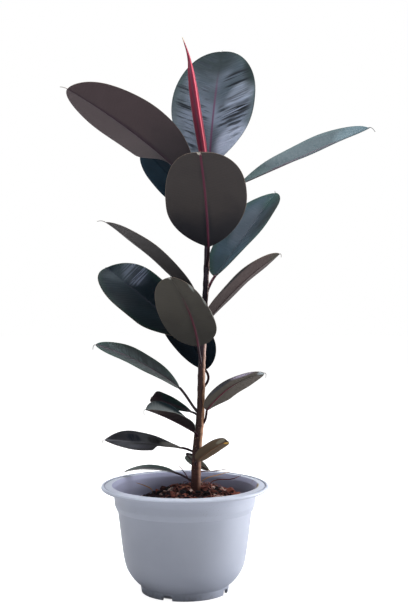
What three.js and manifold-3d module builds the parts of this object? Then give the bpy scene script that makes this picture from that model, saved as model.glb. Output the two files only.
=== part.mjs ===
// A rubber plant in a round plastic pot, in millimetres with +Z up.
// Sizes are from the pot's axis on the floor. -Y is the front, +X is the right.
// The last lines move the whole plant so that the origin is under the middle of its outer box.
import * as THREE from "three";
import { mergeVertices } from "three/addons/utils/BufferGeometryUtils.js";
import Module from "manifold-3d";

const wasm = await Module();
wasm.setup();

// ---------- driving dimensions ----------

const gap = 0.3; // between pieces that touch
const potPlace = new THREE.Vector3(-58.5, 14, 0); // the pot's axis, from the middle of the outer box

const pot = {
  sides: 44,
  footInside: 61,
  footOutside: 64.5,
  floorBottom: 8,
  floorTop: 10.8,
  wall: 2.6,
  notchWidth: 15,
  notchHeight: 7.5,
  notchCorner: 3,
  notchAngles: [-22, 68, 158, 248], // degrees from the front towards the right
  drainRadius: 6,
  drainRing: 38,
  tiltFrom: 131, // the rim is lifted and tilted from this height up to tiltTo, as in the photo
  tiltTo: 150,
  rimLift: 1.1,
  rimTilt: 0.026, // how much higher the rim is per millimetre to the back
};

// The outside of the pot from the foot to the lip, as [radius, height].
const potOutside = [
  [pot.footOutside, 0],
  [66, 11],
  [73.7, 17.5],
  [81.1, 26.4],
  [86.3, 35.4],
  [89.3, 44.3],
  [93, 66],
  [100, 121],
  [104.8, 129.2],
  [105.3, 139],
  [108.5, 150],
];

// The lip from the outside of the wall, over the bead and the groove, to the inside of the wall.
const potLip = [
  [120, 151.2],
  [124, 152.2],
  [125, 154.6],
  [123.4, 156.6],
  [121.2, 156.2],
  [120, 155.4],
  [118.4, 156.4],
  [109.2, 157.3],
  [108.4, 156.4],
];

const mix = {
  sides: 32,
  rings: 7,
  topNearStem: 151,
  topAtWall: 128,
  moundInside: 14, // the mound stays at its full height this near the stem
  moundOutside: 112,
  lump: 2.2,
  chips: 38,
  chipsFrom: 17, // how near the stem the chips start
  chipsOver: 62,
  chipsCentred: 90, // chips this far from the stem are centred on the pot's axis
  chipsProud: 0.6,
  seed: 7,
};

// The stem's centre line as [x, y, z] and its radius at each point.
const stemLine = [
  [15, 0, 92],
  [16, 0, 150],
  [18, 0, 209],
  [23, 0, 261],
  [25, 0, 333],
  [30, 0, 431],
  [32, 0, 478],
  [33, 0, 510],
  [33, 1, 570],
  [31, 2, 626],
];
const stemRadii = [7.2, 7.4, 6.8, 6.1, 5.4, 4.4, 4.4, 4.1, 4.2, 4.6];
const stemSides = 12;

// The sheath round the next leaf.
const sheathLine = [
  [30.9, 2, 626.4],
  [28.6, 1.6, 641],
  [24.5, 1, 668],
  [19, 0, 702],
  [13, 0, 743],
  [9.4, 0, 770],
  [7, 0, 788],
  [3.5, -0.5, 803],
  [-4, -1, 825],
];
const sheathRadii = [4.8, 6.2, 7.2, 7.5, 7.0, 5.4, 3.0, 1.7, 0.5];
const sheathSides = 10;

const blade = {
  halfThickness: 0.4,
  wavePerWidth: 0.006, // how far the edges wave
  waves: 2.3,
  fullness: 2.2, // how broad the outline stays near its widest place
  ribEnd: 0.5, // the rib's radius at the blade's tip
  hookEnd: 0.38,
};

const stalk = {
  radius: 1.4,
  radiusPerWidth: 1 / 150,
  footSwell: 1.35, // how much thicker the petiole is where it leaves the stem
};

// One entry per leaf, from the top of the plant down. node is the height at which the petiole leaves
// the stem; base, middle and tip are points of the midrib; hook is the drip tip's reach from the tip;
// bow is how far the petiole bulges out of its straight way; lean makes one half wider than the other.
// widest is where along the blade it is widest, and shear moves that place apart on its two sides.
// foot and crown say how pointed the two ends are: 0.5 is round, 1 is pointed. roll turns the blade
// about its midrib, twist adds to that along the blade, fold raises both halves, in degrees. neckLeft
// and neckRight narrow one half towards its foot: the place, the softness and the share that is left.
const leaves = [
  { node: 604, base: [36, 12, 633], middle: [44, 50, 732], tip: [57, 112, 834], hook: [1, 3, 3],
    width: 131, widest: 0.54, lean: -0.02, foot: 0.9, crown: 0.52, fold: 5 },
  { node: 586, base: [9, -8, 609], middle: [-78, -30, 679], tip: [-166, -70, 731], hook: [-10, -4, 2],
    width: 115, widest: 0.43, shear: 0.04, lean: -0.01, foot: 0.7, crown: 0.6,
    neckRight: [0.28, 0.09, 0.12], roll: -25, fold: 14 },
  { node: 530, base: [16, 18, 565], middle: [-21, 60, 621], tip: [-67, 110, 675], hook: [-4, 4, 0],
    width: 78, widest: 0.46, crown: 0.66, roll: 20, fold: 8 },
  { node: 480, base: [35, -24, 510], middle: [31, -80, 570], tip: [23, -150, 627], hook: [2, -3, -5],
    width: 117, widest: 0.49, shear: -0.07, foot: 0.8, crown: 0.42, fold: 4 },
  { node: 575, base: [80, 12, 607], middle: [179, 30, 652], tip: [282, 50, 700], hook: [11, 2, -6],
    width: 92, widest: 0.66, foot: 0.95, crown: 0.5, roll: -17, fold: 13 },
  { node: 439, base: [45, 12, 469], middle: [95, 50, 538], tip: [141, 95, 605], hook: [0, 1, 4],
    width: 112, widest: 0.48, shear: -0.1, lean: 0.07, foot: 0.56, crown: 0.75, roll: 1, fold: 15 },
  { node: 388, base: [27, -12, 395], middle: [84, -16, 457], tip: [140, -20, 500], hook: [2, -1, -5],
    width: 76, widest: 0.55, lean: -0.04, foot: 0.42, crown: 0.7, roll: 12, fold: 8 },
  { node: 406, base: [18, -6, 433], middle: [-52, -12, 499], tip: [-117, -18, 547], hook: [-12, -2, 1],
    width: 78, widest: 0.4, foot: 0.7, crown: 0.9, roll: -10, fold: 11 },
  { node: 362, base: [16, 14, 372], middle: [-60, 50, 434], tip: [-127, 100, 487], hook: [-3, 4, -3],
    width: 111, widest: 0.47, shear: 0.17, lean: -0.1, foot: 0.62, crown: 0.52,
    neckLeft: [0.16, 0.18, 0.5], roll: 26, fold: 8 },
  { node: 333, base: [20, -18, 364], middle: [8, -60, 412], tip: [-18, -115, 461], hook: [4, -2, -3],
    width: 79, widest: 0.4, shear: 0.1, lean: 0.19, foot: 0.6, crown: 0.5, roll: -8, fold: 3 },
  { node: 301, base: [30, 16, 328], middle: [2, 60, 380], tip: [-29, 110, 426], hook: [-2, 4, 1],
    bow: [6, 4, -3], width: 79, widest: 0.5, foot: 0.65, crown: 0.5, roll: 6, fold: 8 },
  { node: 262, base: [-7, -4, 301], middle: [-67, -8, 340], tip: [-132, -12, 366], hook: [-4, -1, -7],
    bow: [-2, 0, -3], width: 80, widest: 0.56, crown: 0.6, roll: 16, fold: 6 },
  { node: 256, base: [12, 10, 264], middle: [-20, 19, 275], tip: [-50.5, 28, 286], hook: [-2, 1, -3],
    width: 27, widest: 0.88, lean: 0.15, foot: 1, crown: 0.15, roll: 38, fold: 4 },
  { node: 224, base: [13.5, -10, 237.5], middle: [-23, -20, 257.5], tip: [-57, -30, 271.5],
    hook: [-2, 0, -8], width: 50, widest: 0.5, foot: 0.5, crown: 0.5, roll: 12, twist: 30, fold: 38 },
  { node: 245, base: [32.5, -4, 268.5], middle: [70, -10, 305], tip: [117.5, -16, 324.5],
    hook: [2, -1, -7], bow: [5, 0, -4], width: 54, widest: 0.48, shear: -0.14, lean: -0.14, foot: 0.45,
    crown: 0.6, neckLeft: [0.16, 0.2, 0.4], roll: 28, twist: -10, fold: 2 },
  { node: 204, base: [-3, -2, 212], middle: [-58, -6, 220], tip: [-120, -10, 225], hook: [-2, -1, -5],
    width: 54, widest: 0.51, shear: 0.1, lean: 0.02, foot: 0.95, crown: 1,
    neckLeft: [0.38, 0.04, 0.3], roll: 22, twist: 30, fold: 4 },
  { node: 182, base: [18, -12, 194], middle: [39, -18, 211], tip: [63, -24, 225], hook: [3, 0, 0],
    width: 35, widest: 0.5, foot: 0.4, crown: 0.25, roll: 32, fold: 8 },
  { node: 200, base: [3, 12, 200], middle: [17, 22, 186], tip: [36, 26, 175], hook: [2, 0, -1],
    width: 20, widest: 0.45, foot: 0.4, crown: 0.6, roll: 40, fold: 8 },
  { node: 159, base: [-12, 8, 173], middle: [-56, 40, 176], tip: [-97, 70, 165.5], hook: [-4, 1, -2],
    width: 26, widest: 0.62, foot: 0.85, roll: 10, twist: 10, fold: 8 },
];
const leafDefaults = {
  bow: [0, 0, 0],
  shear: 0,
  lean: 0,
  twist: 0,
  roll: 0,
  foot: 0.75,
  crown: 0.5,
  neckLeft: [0, 0.01, 0.99],
  neckRight: [0, 0.01, 0.99],
};
const largeLeaf = 52; // blades wider than this get more rows

// Loose fibres that stick out of the mix, as points along each.
const fibreRadius = 0.6;
const fibres = [
  [[12, 14, 141], [4, 19, 164], [-3.4, 21, 175], [-13.4, 22, 187]],
  [[-46, 24, 130], [-52, 28, 146], [-62, 30, 151], [-75, 32, 155]],
  [[8, 26, 141], [30, 24, 162], [50, 32, 167], [70, 40, 171]],
  [[28, 34, 138], [42, 38, 156.5], [71, 40, 159.5], [85, 45, 164]],
  [[12, 50, 134], [18, 58, 165], [45, 60, 169], [69, 62, 172]],
];

// ---------- shared helpers ----------

const up = new THREE.Vector3(0, 0, 1);
const toVector = ([x, y, z]) => new THREE.Vector3(x, y, z);
const radians = THREE.MathUtils.degToRad;
const blend = THREE.MathUtils.lerp;

// A geometry as a solid that can be joined and cut.
function solidOf(geometry) {
  const bare = geometry.clone();
  bare.deleteAttribute("normal");
  bare.deleteAttribute("uv");
  const merged = mergeVertices(bare, 1e-4);
  const mesh = new wasm.Mesh({
    numProp: 3,
    vertProperties: merged.attributes.position.array,
    triVerts: new Uint32Array(merged.index.array),
  });
  return new wasm.Manifold(mesh);
}

// A solid as a geometry.
function geometryOf(solid) {
  const mesh = solid.getMesh();
  const geometry = new THREE.BufferGeometry();
  geometry.setAttribute("position", new THREE.BufferAttribute(mesh.vertProperties, 3));
  geometry.setIndex(new THREE.BufferAttribute(mesh.triVerts, 1));
  geometry.computeVertexNormals();
  return geometry;
}

function makeMesh(name, geometry, color, roughness) {
  const material = new THREE.MeshStandardMaterial({ color, roughness, metalness: 0 });
  const mesh = new THREE.Mesh(geometry, material);
  mesh.name = name;
  return mesh;
}

// A round body turned from a profile of [radius, height] points.
function turned(profile, sides) {
  const points = profile.map(([radius, height]) => new THREE.Vector2(radius, height));
  return new THREE.LatheGeometry(points, sides).rotateX(Math.PI / 2);
}

// A cylinder bent along a centre line. Its radius follows the list, and grow is added to it.
function taperedTube(line, radii, sides, grow = 0) {
  const curve = new THREE.CatmullRomCurve3(line.map(toVector), false, "centripetal");
  const geometry = new THREE.CylinderGeometry(1, 1, 1, sides, line.length - 1);
  const position = geometry.attributes.position;
  for (let i = 0; i < position.count; i += 1) {
    const along = position.getY(i) + 0.5;
    const centre = curve.getPoint(along);
    const place = Math.min(along * (radii.length - 1), radii.length - 1.0001);
    const first = Math.floor(place);
    const radius = blend(radii[first], radii[first + 1], place - first) + grow;
    const x = centre.x - position.getX(i) * radius;
    position.setXYZ(i, x, centre.y + position.getZ(i) * radius, centre.z);
  }
  return geometry;
}

// Random numbers from 0 to 1 that are the same on every run.
function seededRandom(seed) {
  let state = seed;
  return () => {
    state = (state * 48271) % 2147483647;
    return state / 2147483647;
  };
}

// ---------- pot ----------

// The inside of the wall is the outside moved in by the wall's thickness.
const potInside = potOutside
  .slice(2)
  .map(([radius, height]) => [radius - pot.wall, height + pot.wall * 0.4])
  .reverse();

// The room of one notch in the foot ring, with rounded upper corners.
function potNotch(angle) {
  const half = pot.notchWidth / 2;
  const corner = pot.notchCorner;
  const shape = new THREE.Shape();
  shape.moveTo(-half - 1, -1);
  shape.lineTo(half + 1, -1);
  shape.lineTo(half, pot.notchHeight - corner);
  shape.quadraticCurveTo(half, pot.notchHeight, half - corner, pot.notchHeight);
  shape.lineTo(corner - half, pot.notchHeight);
  shape.quadraticCurveTo(-half, pot.notchHeight, -half, pot.notchHeight - corner);
  const depth = 20; // more than the ring's thickness on both sides
  const geometry = new THREE.ExtrudeGeometry(shape, { depth, bevelEnabled: false, curveSegments: 3 });
  geometry.rotateX(Math.PI / 2);
  geometry.translate(0, depth / 2 - pot.footOutside, 0);
  geometry.rotateZ(radians(angle));
  return solidOf(geometry);
}

function drainHole(x, y) {
  const geometry = new THREE.CylinderGeometry(pot.drainRadius, pot.drainRadius, 20, 12);
  geometry.rotateX(Math.PI / 2);
  geometry.translate(x, y, pot.floorTop);
  return solidOf(geometry);
}

// Lifts the rim and tilts it up at the back, with no change below the band.
function tiltRim(geometry) {
  const position = geometry.attributes.position;
  for (let i = 0; i < position.count; i += 1) {
    const share = THREE.MathUtils.smoothstep(position.getZ(i), pot.tiltFrom, pot.tiltTo);
    const rise = pot.rimLift + pot.rimTilt * position.getY(i);
    position.setZ(i, position.getZ(i) + rise * share);
  }
  return geometry;
}

function makePot() {
  const profile = [
    [0, pot.floorBottom],
    [pot.footInside, pot.floorBottom],
    [pot.footInside, 0],
    ...potOutside,
    ...potLip,
    ...potInside,
    [pot.footInside, pot.floorTop],
    [0, pot.floorTop],
  ];
  let solid = solidOf(tiltRim(turned(profile, pot.sides))).subtract(drainHole(0, 0));
  for (const angle of pot.notchAngles) {
    const turn = radians(angle + 45); // the holes lie between the notches
    solid = solid.subtract(potNotch(angle));
    solid = solid.subtract(drainHole(pot.drainRing * Math.sin(turn), -pot.drainRing * Math.cos(turn)));
  }
  return makeMesh("pot", geometryOf(solid), "#c9ccd8", 0.45);
}

// ---------- potting mix ----------

// The radius of the inside of the wall at a height.
function wallRadius(height) {
  const wall = [[pot.footInside, pot.floorTop], ...potInside.slice().reverse()];
  const above = Math.max(1, wall.findIndex((point) => point[1] >= height));
  const [lowRadius, lowHeight] = wall[above - 1];
  const [highRadius, highHeight] = wall[above];
  return blend(lowRadius, highRadius, (height - lowHeight) / (highHeight - lowHeight));
}

// The height of the mix, a mound round the stem.
function mixHeight(x, y) {
  const [stemX, stemY] = stemLine[1];
  const away = Math.hypot(x - stemX, y - stemY);
  const fall = THREE.MathUtils.smoothstep(away, mix.moundInside, mix.moundOutside);
  const lumps = Math.sin(x * 0.31 + 1.3) * Math.cos(y * 0.27) + 0.6 * Math.sin(x * 0.13 - y * 0.19);
  return blend(mix.topNearStem, mix.topAtWall, fall) + mix.lump * lumps * (1 - fall);
}

// A flat chip of husk, half sunk in the mix. Chips lie closer to the pot's axis the further out they are.
function husk(random) {
  const geometry = new THREE.BoxGeometry(7 + 9 * random(), 4 + 4 * random(), 2.4 + 2 * random());
  geometry.rotateX((random() - 0.5) * 1.1);
  geometry.rotateY((random() - 0.5) * 1.1);
  geometry.rotateZ(random() * Math.PI);
  const [stemX, stemY] = stemLine[1];
  const turn = random() * Math.PI * 2;
  const reach = mix.chipsFrom + mix.chipsOver * Math.sqrt(random());
  const x = stemX * (1 - reach / mix.chipsCentred) + reach * Math.cos(turn);
  const y = stemY + reach * Math.sin(turn);
  geometry.translate(x, y, mixHeight(x, y) + mix.chipsProud);
  return solidOf(geometry);
}

function fibre(points) {
  const path = new THREE.CatmullRomCurve3(points.map(toVector));
  const section = new THREE.Shape();
  section.absarc(0, 0, fibreRadius, 0, Math.PI * 2);
  const options = { steps: 6, extrudePath: path, curveSegments: 3, bevelEnabled: false };
  return solidOf(new THREE.ExtrudeGeometry(section, options));
}

function makeMix() {
  const wall = potInside
    .slice()
    .reverse()
    .filter((point) => point[1] < mix.topAtWall - 3)
    .map(([radius, height]) => [radius - gap, height]);
  const edge = wallRadius(mix.topAtWall) - gap;
  const top = [];
  for (let ring = 0; ring <= mix.rings; ring += 1) {
    top.push([edge * (1 - ring / mix.rings), mix.topAtWall]);
  }
  const profile = [[0, pot.floorTop + gap], [pot.footInside - gap, pot.floorTop + gap], ...wall, ...top];
  const geometry = turned(profile, mix.sides);
  const position = geometry.attributes.position;
  for (let i = 0; i < position.count; i += 1) {
    const x = position.getX(i);
    const y = position.getY(i);
    const onTop = position.getZ(i) > mix.topAtWall - 0.01;
    if (onTop && Math.hypot(x, y) < edge - 1) position.setZ(i, mixHeight(x, y));
  }
  const random = seededRandom(mix.seed);
  const pieces = [solidOf(geometry)];
  for (let count = 0; count < mix.chips; count += 1) pieces.push(husk(random));
  for (const points of fibres) pieces.push(fibre(points));
  const solid = wasm.Manifold.union(pieces).subtract(stemRoom);
  return makeMesh("potting_mix", geometryOf(solid), "#6b4534", 0.95);
}

// ---------- stem and sheath ----------

const stemGeometry = taperedTube(stemLine, stemRadii, stemSides);
const stemRoom = solidOf(taperedTube(stemLine, stemRadii, stemSides, gap));
const stemCurve = new THREE.CatmullRomCurve3(stemLine.map(toVector), false, "centripetal");

// The point on the stem's centre line at a height.
function stemAt(height) {
  const place = stemLine.findIndex((point) => point[2] > height);
  const low = stemLine[place - 1];
  const high = stemLine[place];
  const share = (height - low[2]) / (high[2] - low[2]);
  return stemCurve.getPoint((place - 1 + share) / (stemLine.length - 1));
}

// ---------- leaves ----------

// Half the blade's width at a place along it, when it is widest at the given place.
function halfWidth(leaf, along, widest, neck) {
  const before = along < widest;
  const away = before ? (widest - along) / widest : (along - widest) / (1 - widest);
  const share = Math.max(0, 1 - Math.abs(away) ** blade.fullness);
  const half = (leaf.width / 2) * share ** (before ? leaf.foot : leaf.crown);
  const [place, softness, least] = neck;
  return half * blend(least, 1, THREE.MathUtils.smoothstep(along, place - softness, place + softness));
}

// One cross-section of the leaf: its centre, its two side directions, half widths and rib radius.
function section(point, tangent, turn, left, right, radius, droop) {
  const across = new THREE.Vector3().crossVectors(tangent, up).normalize();
  const normal = new THREE.Vector3().crossVectors(across, tangent);
  const side = across.clone().multiplyScalar(Math.cos(turn)).addScaledVector(normal, Math.sin(turn));
  const face = normal.clone().multiplyScalar(Math.cos(turn)).addScaledVector(across, -Math.sin(turn));
  return { point, side, face, left, right, radius, droop };
}

// The cross-sections of a leaf from inside the stem to the end of its drip tip.
function leafSections(leaf, index) {
  const stalkRadius = stalk.radius + stalk.radiusPerWidth * leaf.width;
  const [base, middle, tip] = [leaf.base, leaf.middle, leaf.tip].map(toVector);
  const bend = middle.clone().multiplyScalar(2).addScaledVector(base, -0.5).addScaledVector(tip, -0.5);
  const midrib = new THREE.QuadraticBezierCurve3(base, bend, tip);
  const start = stemAt(leaf.node);
  const reach = start.distanceTo(base);
  const bow = toVector(leaf.bow);
  const leave = start.clone().lerp(base, 0.35).add(bow);
  const arrive = base.clone().addScaledVector(midrib.getTangent(0), -0.4 * reach).add(bow);
  const petiole = new THREE.CubicBezierCurve3(start, leave, arrive, base);
  const end = tip.clone().add(toVector(leaf.hook));
  const tipReach = 0.5 * tip.distanceTo(end);
  const hook = new THREE.QuadraticBezierCurve3(
    tip,
    tip.clone().addScaledVector(midrib.getTangent(1), tipReach),
    end,
  );
  const turnAt = (along) => radians(leaf.roll + leaf.twist * (along - 0.5));
  const sections = [];
  const stalkRows = leaf.width > largeLeaf ? 4 : 3;
  for (let row = 0; row < stalkRows; row += 1) {
    const along = row / stalkRows;
    const radius = stalkRadius * blend(stalk.footSwell, 1, Math.min(1, along * 3));
    const turn = turnAt(0) * along;
    const point = petiole.getPoint(along);
    sections.push(section(point, petiole.getTangent(along), turn, radius, radius, radius, 0));
  }
  const bladeRows = leaf.width > largeLeaf ? 10 : 7;
  for (let row = 0; row <= bladeRows; row += 1) {
    const along = (1 - Math.cos((Math.PI * row) / bladeRows)) / 2;
    const radius = blend(stalkRadius, blade.ribEnd, along);
    const leftHalf = halfWidth(leaf, along, leaf.widest - leaf.shear, leaf.neckLeft);
    const rightHalf = halfWidth(leaf, along, leaf.widest + leaf.shear, leaf.neckRight);
    const left = Math.max(radius, (1 - leaf.lean) * leftHalf);
    const right = Math.max(radius, (1 + leaf.lean) * rightHalf);
    const droop = leaf.width * blade.wavePerWidth * Math.sin(Math.PI * 2 * blade.waves * along + index);
    const point = midrib.getPoint(along);
    sections.push(section(point, midrib.getTangent(along), turnAt(along), left, right, radius, droop));
  }
  for (const along of [0.5, 1]) {
    const radius = blend(blade.ribEnd, blade.hookEnd, along);
    const point = hook.getPoint(along);
    sections.push(section(point, hook.getTangent(along), turnAt(1), radius, radius, radius, 0));
  }
  return sections;
}

// How thick the rib makes the leaf at a distance from its middle.
function ribHeight(radius, distance) {
  const share = Math.min(1, distance / radius);
  return blade.halfThickness + Math.max(0, radius - blade.halfThickness) * Math.sqrt(1 - share * share);
}

// The ring of points round a cross-section: the upper face left to right, then the underside back.
function sectionRing(cut, fold) {
  const widest = Math.max(cut.left, cut.right);
  const flat = THREE.MathUtils.clamp((widest / cut.radius - 1) / 4, 0, 1);
  const place = (sideways, raise) => {
    const width = sideways < 0 ? cut.left : cut.right;
    const out = Math.abs(sideways) * width;
    const rise = out * Math.sin(fold) * flat + cut.droop * Math.abs(sideways) * flat;
    return cut.point
      .clone()
      .addScaledVector(cut.side, Math.sign(sideways) * out * Math.cos(fold * flat))
      .addScaledVector(cut.face, rise + raise);
  };
  const nearRib = (0.75 * cut.radius) / widest;
  const upper = [-1, -0.5, 0, 0.5, 1].map((sideways) => {
    const width = sideways < 0 ? cut.left : cut.right;
    const height = ribHeight(cut.radius, Math.abs(sideways) * width);
    return place(sideways, blend(height, blade.halfThickness, flat));
  });
  const under = [1, nearRib, 0, -nearRib, -1].map((sideways) => {
    const width = sideways < 0 ? cut.left : cut.right;
    return place(sideways, -ribHeight(cut.radius, Math.abs(sideways) * width));
  });
  return [...upper, ...under];
}

// A closed skin over rings of points. Quads on the upper face and the underside are split alike.
function skinOver(rings) {
  const count = rings[0].length;
  const points = rings.flat();
  const faces = [];
  const upperQuads = 4;
  for (let row = 0; row < rings.length - 1; row += 1) {
    for (let place = 0; place < count; place += 1) {
      const next = (place + 1) % count;
      const [a, b] = [row * count + place, row * count + next];
      const [c, d] = [b + count, a + count];
      if (place < upperQuads) faces.push(a, b, c, a, c, d);
      else faces.push(a, b, d, b, c, d);
    }
  }
  for (const [row, facesBack] of [[0, true], [rings.length - 1, false]]) {
    const middle = points.length;
    const sum = rings[row].reduce((total, point) => total.add(point), new THREE.Vector3());
    points.push(sum.divideScalar(count));
    for (let place = 0; place < count; place += 1) {
      const next = row * count + ((place + 1) % count);
      const here = row * count + place;
      if (facesBack) faces.push(middle, next, here);
      else faces.push(middle, here, next);
    }
  }
  const geometry = new THREE.BufferGeometry().setFromPoints(points);
  geometry.setIndex(faces);
  return geometry;
}

function makeLeaf(entry, index) {
  const leaf = { ...leafDefaults, ...entry };
  const rings = leafSections(leaf, index).map((cut) => sectionRing(cut, radians(leaf.fold)));
  const solid = solidOf(skinOver(rings)).subtract(stemRoom);
  const name = "leaf_" + String(index + 1).padStart(2, "0");
  return makeMesh(name, geometryOf(solid), "#2a2e33", 0.4);
}

// ---------- assembly ----------

const plant = new THREE.Group();
plant.add(makePot());
plant.add(makeMix());
plant.add(makeMesh("stem", stemGeometry, "#7d5a46", 0.8));
plant.add(makeMesh("bud_sheath", taperedTube(sheathLine, sheathRadii, sheathSides), "#b03048", 0.5));
leaves.forEach((entry, index) => plant.add(makeLeaf(entry, index)));
plant.position.copy(potPlace);

export default plant;
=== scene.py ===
"""Looks of a young burgundy rubber plant in a round plastic pot.

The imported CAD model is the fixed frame, in metres. This script replaces its plain solids with
finer pieces of the same form: a spun pot, a bed of husk chips and fibres, a stem with leaf scars, a
red bud sheath and nineteen veined leaves. Sizes are in millimetres from the pot's axis on the
floor, as in the part's source, and they become metres when a point is put in the frame. -Y is the
front.
"""

import logging
import math
import random
from collections.abc import Callable, Sequence
from dataclasses import dataclass, field
from enum import Enum
from typing import TypeAlias

import bmesh
import bpy
from bmesh.types import BMEdge, BMesh, BMVert
from bpy.types import ID, Material, Node, NodeSocket, NodeTree, Object
from mathutils import Matrix, Vector, noise


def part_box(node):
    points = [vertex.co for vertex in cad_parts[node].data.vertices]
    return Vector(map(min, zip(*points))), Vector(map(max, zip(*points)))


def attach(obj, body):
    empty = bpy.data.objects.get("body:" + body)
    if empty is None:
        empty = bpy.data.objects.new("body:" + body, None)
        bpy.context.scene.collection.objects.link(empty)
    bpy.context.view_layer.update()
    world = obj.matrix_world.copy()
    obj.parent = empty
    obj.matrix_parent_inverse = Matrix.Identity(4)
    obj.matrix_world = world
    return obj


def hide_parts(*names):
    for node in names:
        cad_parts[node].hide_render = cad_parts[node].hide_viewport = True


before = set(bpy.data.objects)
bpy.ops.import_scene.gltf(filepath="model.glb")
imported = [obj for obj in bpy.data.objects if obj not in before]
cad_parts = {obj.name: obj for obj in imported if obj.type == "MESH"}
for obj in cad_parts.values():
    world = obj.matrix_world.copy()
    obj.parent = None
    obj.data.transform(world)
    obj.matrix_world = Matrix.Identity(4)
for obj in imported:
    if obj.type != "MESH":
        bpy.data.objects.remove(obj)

log = logging.getLogger("rubber_plant")

MM = 0.001
TAU = 2 * math.pi
BODY = "root"
UP = Vector((0, 0, 1))
WELD = 1e-7  # metres, between points that are one point
TINY = 1e-6

POT_LOW, POT_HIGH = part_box("pot")
POT_AXIS = Vector(((POT_LOW.x + POT_HIGH.x) / 2, (POT_LOW.y + POT_HIGH.y) / 2, POT_LOW.z))

Pair = tuple[float, float]
Triple = tuple[float, float, float]
Colour = str | tuple[float, float, float, float]  # a code such as #102030, or linear shares
Spot = tuple[Vector, Vector, float]  # a point, its place mark and its edge distance
Paint = Colour | NodeSocket
Number: TypeAlias = "Value | float"


# ---------- numbers and curves ----------


def blend(low: float, high: float, share: float) -> float:
    """The number a share of the way from low to high."""
    return low + (high - low) * share


def ease(value: float, low: float, high: float) -> float:
    """0 below low, 1 above high and a smooth step between them."""
    share = min(1.0, max(0.0, (value - low) / (high - low)))
    return share * share * (3 - 2 * share)


def in_frame(point: Vector) -> Vector:
    """A point in millimetres from the pot's axis, in the frame's metres."""
    return POT_AXIS + point * MM


def tone(code: str) -> Colour:
    """Turns a colour code into the linear values that a shader takes.

    Args:
        code: The colour as it looks on a screen, as #rrggbb.

    Returns:
        Red, green, blue and an alpha of 1.
    """
    shares = [int(code[place : place + 2], 16) / 255 for place in (1, 3, 5)]
    red, green, blue = (s / 12.92 if s <= 0.04045 else ((s + 0.055) / 1.055) ** 2.4 for s in shares)
    return red, green, blue, 1.0


def bezier(points: Sequence[Vector], share: float) -> Vector:
    """Follows a Bezier curve.

    Args:
        points: Its control points, of any number.
        share: The share of its way.

    Returns:
        The point there.
    """
    while len(points) > 1:
        points = [low.lerp(high, share) for low, high in zip(points, points[1:])]
    return points[0]


def bezier_heading(points: Sequence[Vector], share: float) -> Vector:
    """The direction of a Bezier curve at a share of its way."""
    return bezier([high - low for low, high in zip(points, points[1:])], share).normalized()


class SmoothLine:
    """A smooth curve through a list of points, with centripetal spacing, as the CAD model's."""

    def __init__(self, points: Sequence[Sequence[float]]) -> None:
        """Keeps the points, with one more beyond each end."""
        inner = [Vector(point) for point in points]
        self.points = [2 * inner[0] - inner[1], *inner, 2 * inner[-1] - inner[-2]]

    def at(self, share: float) -> Vector:
        """Follows the curve.

        Args:
            share: The share of the way, where each stretch between two points counts alike.

        Returns:
            The point there.
        """
        stretches = len(self.points) - 3
        place = min(max(share, 0.0) * stretches, stretches - TINY)
        first = int(place)
        a, b, c, d = self.points[first : first + 4]
        knots = [0.0]
        for low, high in ((a, b), (b, c), (c, d)):
            knots.append(knots[-1] + max((high - low).length, TINY) ** 0.5)
        where = blend(knots[1], knots[2], place - first)

        def between(low: Vector, high: Vector, start: int, end: int) -> Vector:
            """The point between two others, by the knots that they belong to."""
            return low.lerp(high, (where - knots[start]) / (knots[end] - knots[start]))

        ab, bc, cd = between(a, b, 0, 1), between(b, c, 1, 2), between(c, d, 2, 3)
        return between(between(ab, bc, 0, 2), between(bc, cd, 1, 3), 1, 2)

    def heading(self, share: float, step: float = 1e-3) -> Vector:
        """The direction at a share of the way, between a step before and a step after it."""
        return (self.at(min(1.0, share + step)) - self.at(max(0.0, share - step))).normalized()


def stepped(values: Sequence[float], share: float) -> float:
    """Reads a list of values that straight lines join.

    Args:
        values: The values, evenly spaced.
        share: The share of the way along them.

    Returns:
        The value there.
    """
    place = min(max(share, 0.0) * (len(values) - 1), len(values) - 1 - TINY)
    first = int(place)
    return blend(values[first], values[first + 1], place - first)


# ---------- meshes ----------


class Bevelled(Enum):
    """What a bevel acts on."""

    CORNERS = "VERTICES"
    EDGES = "EDGES"


def new_mesh() -> BMesh:
    """Makes an empty mesh that can carry a place mark and an edge distance at each point.

    Returns:
        The mesh.
    """
    mesh = bmesh.new()
    mesh.verts.layers.float_vector.new("place")
    mesh.verts.layers.float.new("edge")
    return mesh


def round_off(
    mesh: BMesh,
    parts: Sequence[BMVert] | Sequence[BMEdge],
    reach: float,
    segments: int,
    affect: Bevelled = Bevelled.EDGES,
) -> list[BMVert]:
    """Bevels corners or edges.

    Args:
        mesh: The mesh.
        parts: Its corners or edges.
        reach: How far the bevel reaches from them.
        segments: Faces across the bevel.
        affect: Which of the two they are.

    Returns:
        The points of the bevel.
    """
    cut = bmesh.ops.bevel(
        mesh,
        geom=parts,
        offset=reach,
        segments=segments,
        profile=0.5,
        affect=affect.value,
        material=-1,
    )
    return cut["verts"]


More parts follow.
